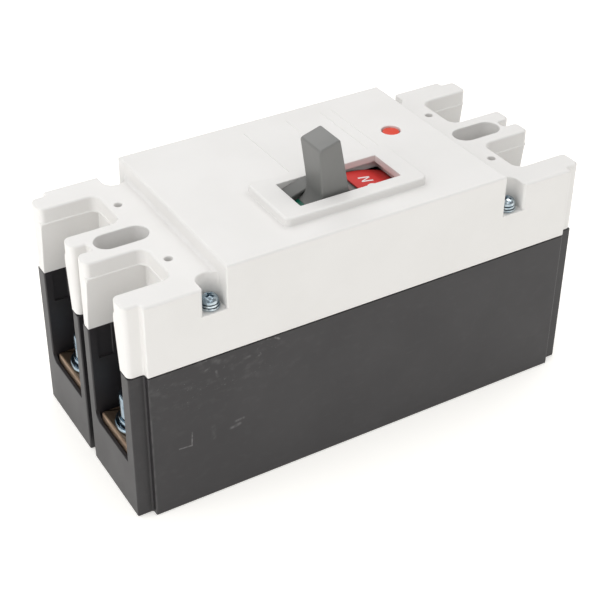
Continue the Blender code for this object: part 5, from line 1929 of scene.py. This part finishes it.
@dataclass
class TripButton:
    """The small red button beside the handle, in its hole, on its return spring."""

    case: Case
    finishes: Finishes
    top: float = 84.7
    radius: float = 3.0
    flange_radius: float = 4.5
    flange: Point = (80.2, 81.7)
    flange_edge: float = 0.15
    stem_radius: float = 1.5
    stem_end: float = 51.8
    stem_edge: float = 0.3
    travel: float = 1.8
    coil_radius: float = 3.2
    wire: float = 0.35
    turns: int = 5
    steps: int = 24

    def coil(self) -> None:
        """The return spring under the flange, with its own copy of its mesh."""
        low, high = (corner[2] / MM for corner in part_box("button_spring"))
        section = circle((self.coil_radius, 0.0), self.wire, 8)
        angles, lifts = (0.0, 360.0 * self.turns), (low + self.wire, high - self.wire)
        steps = self.steps * self.turns
        coil = Blank.spiral("button_coil", section, self.case.button, angles, lifts, steps)
        thing = coil.ship("housing", self.finishes[Slot.STEEL], Slot.STEEL, ["button_spring"])
        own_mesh(thing)

    def build(self) -> None:
        """Builds the button with a domed face and a flange under the roof, and its spring."""
        top, radius, edge = self.top, self.radius, self.flange_edge
        low, high = self.flange
        crown = [(0.0, top), (1.6, top - 0.03), (2.4, top - 0.12), (2.8, top - 0.3), (2.97, top - 0.6)]
        side = [(radius, top - 1.0), (radius, high)]
        outer = self.flange_radius
        flange = [(outer - edge, high), (outer, high - edge), (outer, low + edge), (outer - edge, low)]
        stem, end = self.stem_radius, self.stem_end
        under = [(stem, low), (stem, end + self.stem_edge), (stem - self.stem_edge, end), (0.0, end)]
        button = Blank.turned("push_button", crown + side + flange + under, self.case.button, 40)
        button.ship("trip_button", self.finishes.button, Slot.RED, ["trip_button"])
        self.coil()


@dataclass
class Mechanism:
    """The working parts inside, which keep their CAD shape and get their finish."""

    finishes: Finishes
    frame: dict[str, Any]

    def dress(self) -> None:
        """Gives each CAD node the finish of its slot."""
        for entry in self.frame["record"]["subparts"]:
            thing = self.frame["nodes"].get(entry["node"])
            if thing is None:
                continue
            thing.data.materials.clear()
            thing.data.materials.append(self.finishes[Slot(entry["material_slot"])])
        LOG.info("dressed %d CAD nodes", len(self.frame["nodes"]))


@dataclass(frozen=True)
class Softbox:
    """A square area light: where it hangs and its side in metres, and its power in watts."""

    name: str
    place: Triple
    size: float
    power: float

    def hang(self, target: Vector) -> None:
        """Hangs the light so that it faces a point.

        Args:
            target: the point, in metres.
        """
        lamp = bpy.data.lights.new(self.name, "AREA")
        lamp.size = self.size
        lamp.energy = self.power
        thing = bpy.data.objects.new(self.name, lamp)
        thing.location = self.place
        thing.rotation_euler = (target - Vector(self.place)).to_track_quat("-Z", "Y").to_euler()
        bpy.context.scene.collection.objects.link(thing)


@dataclass
class Studio:
    """A pale floor, soft light all round and the camera."""

    azimuth: float = -28.9851
    elevation: float = 33.7263
    roll: float = -0.724
    target: Triple = (-13.7848, 12.1357, 45.0)
    distance: float = 468.2791
    focal: float = 1372.34
    centre: Point = (255.2634, 263.7319)
    picture: float = 600.0
    sensor: float = 36.0
    nearest: float = 0.01
    floor_half: float = 3.0
    floor_drop: float = 0.0002
    sky: float = 0.36
    lit: Triple = (0.0, 0.0, 0.04)
    softboxes: tuple[Softbox, ...] = (
        Softbox("softbox_above_left", (-0.7, 0.0, 1.1), 1.0, 3.5),
        Softbox("softbox_above_right", (0.7, 0.0, 1.1), 1.0, 5.6),
        Softbox("softbox_back", (0.0, 0.8, 1.0), 1.0, 3.9),
        Softbox("softbox_left", (-1.3, -0.1, 0.45), 0.9, 5.3),
        Softbox("softbox_front", (-0.2, -1.15, 0.9), 0.9, 3.2),
    )

    def floor(self) -> None:
        """A wide floor just under the breaker."""
        bm = bmesh.new()
        bmesh.ops.create_grid(bm, x_segments=8, y_segments=8, size=self.floor_half)
        mesh = bpy.data.meshes.new("floor")
        bm.to_mesh(mesh)
        bm.free()
        floor = bpy.data.objects.new("floor", mesh)
        floor.location.z = -self.floor_drop
        mesh.materials.append(Paper("floor_paper").make())
        bpy.context.scene.collection.objects.link(floor)

    def light(self) -> None:
        """A white surround with softboxes above, behind, at the left and in front."""
        world = bpy.data.worlds.new("surround")
        bpy.context.scene.world = world
        world.use_nodes = True
        shader = world.node_tree.nodes["Background"]
        shader.inputs["Color"].default_value = (1.0, 1.0, 1.0, 1.0)
        shader.inputs["Strength"].default_value = self.sky
        for softbox in self.softboxes:
            softbox.hang(Vector(self.lit))
        settings = bpy.context.scene.view_settings
        settings.view_transform = "Standard"
        settings.look = "None"

    def camera(self) -> None:
        """The camera at the photograph's angle."""
        turn, rise, roll = (math.radians(v) for v in (self.azimuth, self.elevation, self.roll))
        back = Vector((math.sin(turn) * math.cos(rise), -math.cos(turn) * math.cos(rise), math.sin(rise)))
        right = Vector((0, 0, 1)).cross(back).normalized()
        up = back.cross(right)
        across = right * math.cos(roll) + up * math.sin(roll)
        above = up * math.cos(roll) - right * math.sin(roll)
        place = (Vector(self.target) + back * self.distance) * MM
        data = bpy.data.cameras.new("camera")
        data.sensor_width = self.sensor
        data.lens = self.focal * data.sensor_width / self.picture
        data.shift_x = 0.5 - self.centre[0] / self.picture
        data.shift_y = self.centre[1] / self.picture - 0.5
        data.clip_start = self.nearest
        thing = bpy.data.objects.new("camera", data)
        turned = Matrix((across, above, back)).transposed().to_4x4()
        thing.matrix_world = Matrix.Translation(place) @ turned
        bpy.context.scene.collection.objects.link(thing)
        bpy.context.scene.camera = thing

    def build(self) -> None:
        """Sets the whole stage."""
        self.floor()
        self.light()
        self.camera()


def main() -> None:
    """Loads the frame, builds the breaker's visible pieces and sets the stage."""
    logging.basicConfig(level=logging.INFO, format="%(message)s")
    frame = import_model()
    finishes = Finishes()
    case = Case()
    Mechanism(finishes, frame).dress()
    Base(case, finishes).build()
    Cover(case, finishes).build()
    CoverScrews(case, finishes).build()
    Terminals(case, finishes).build()
    Handle(finishes).build()
    TripButton(case, finishes).build()
    Studio().build()


if __name__ == "__main__":
    main()
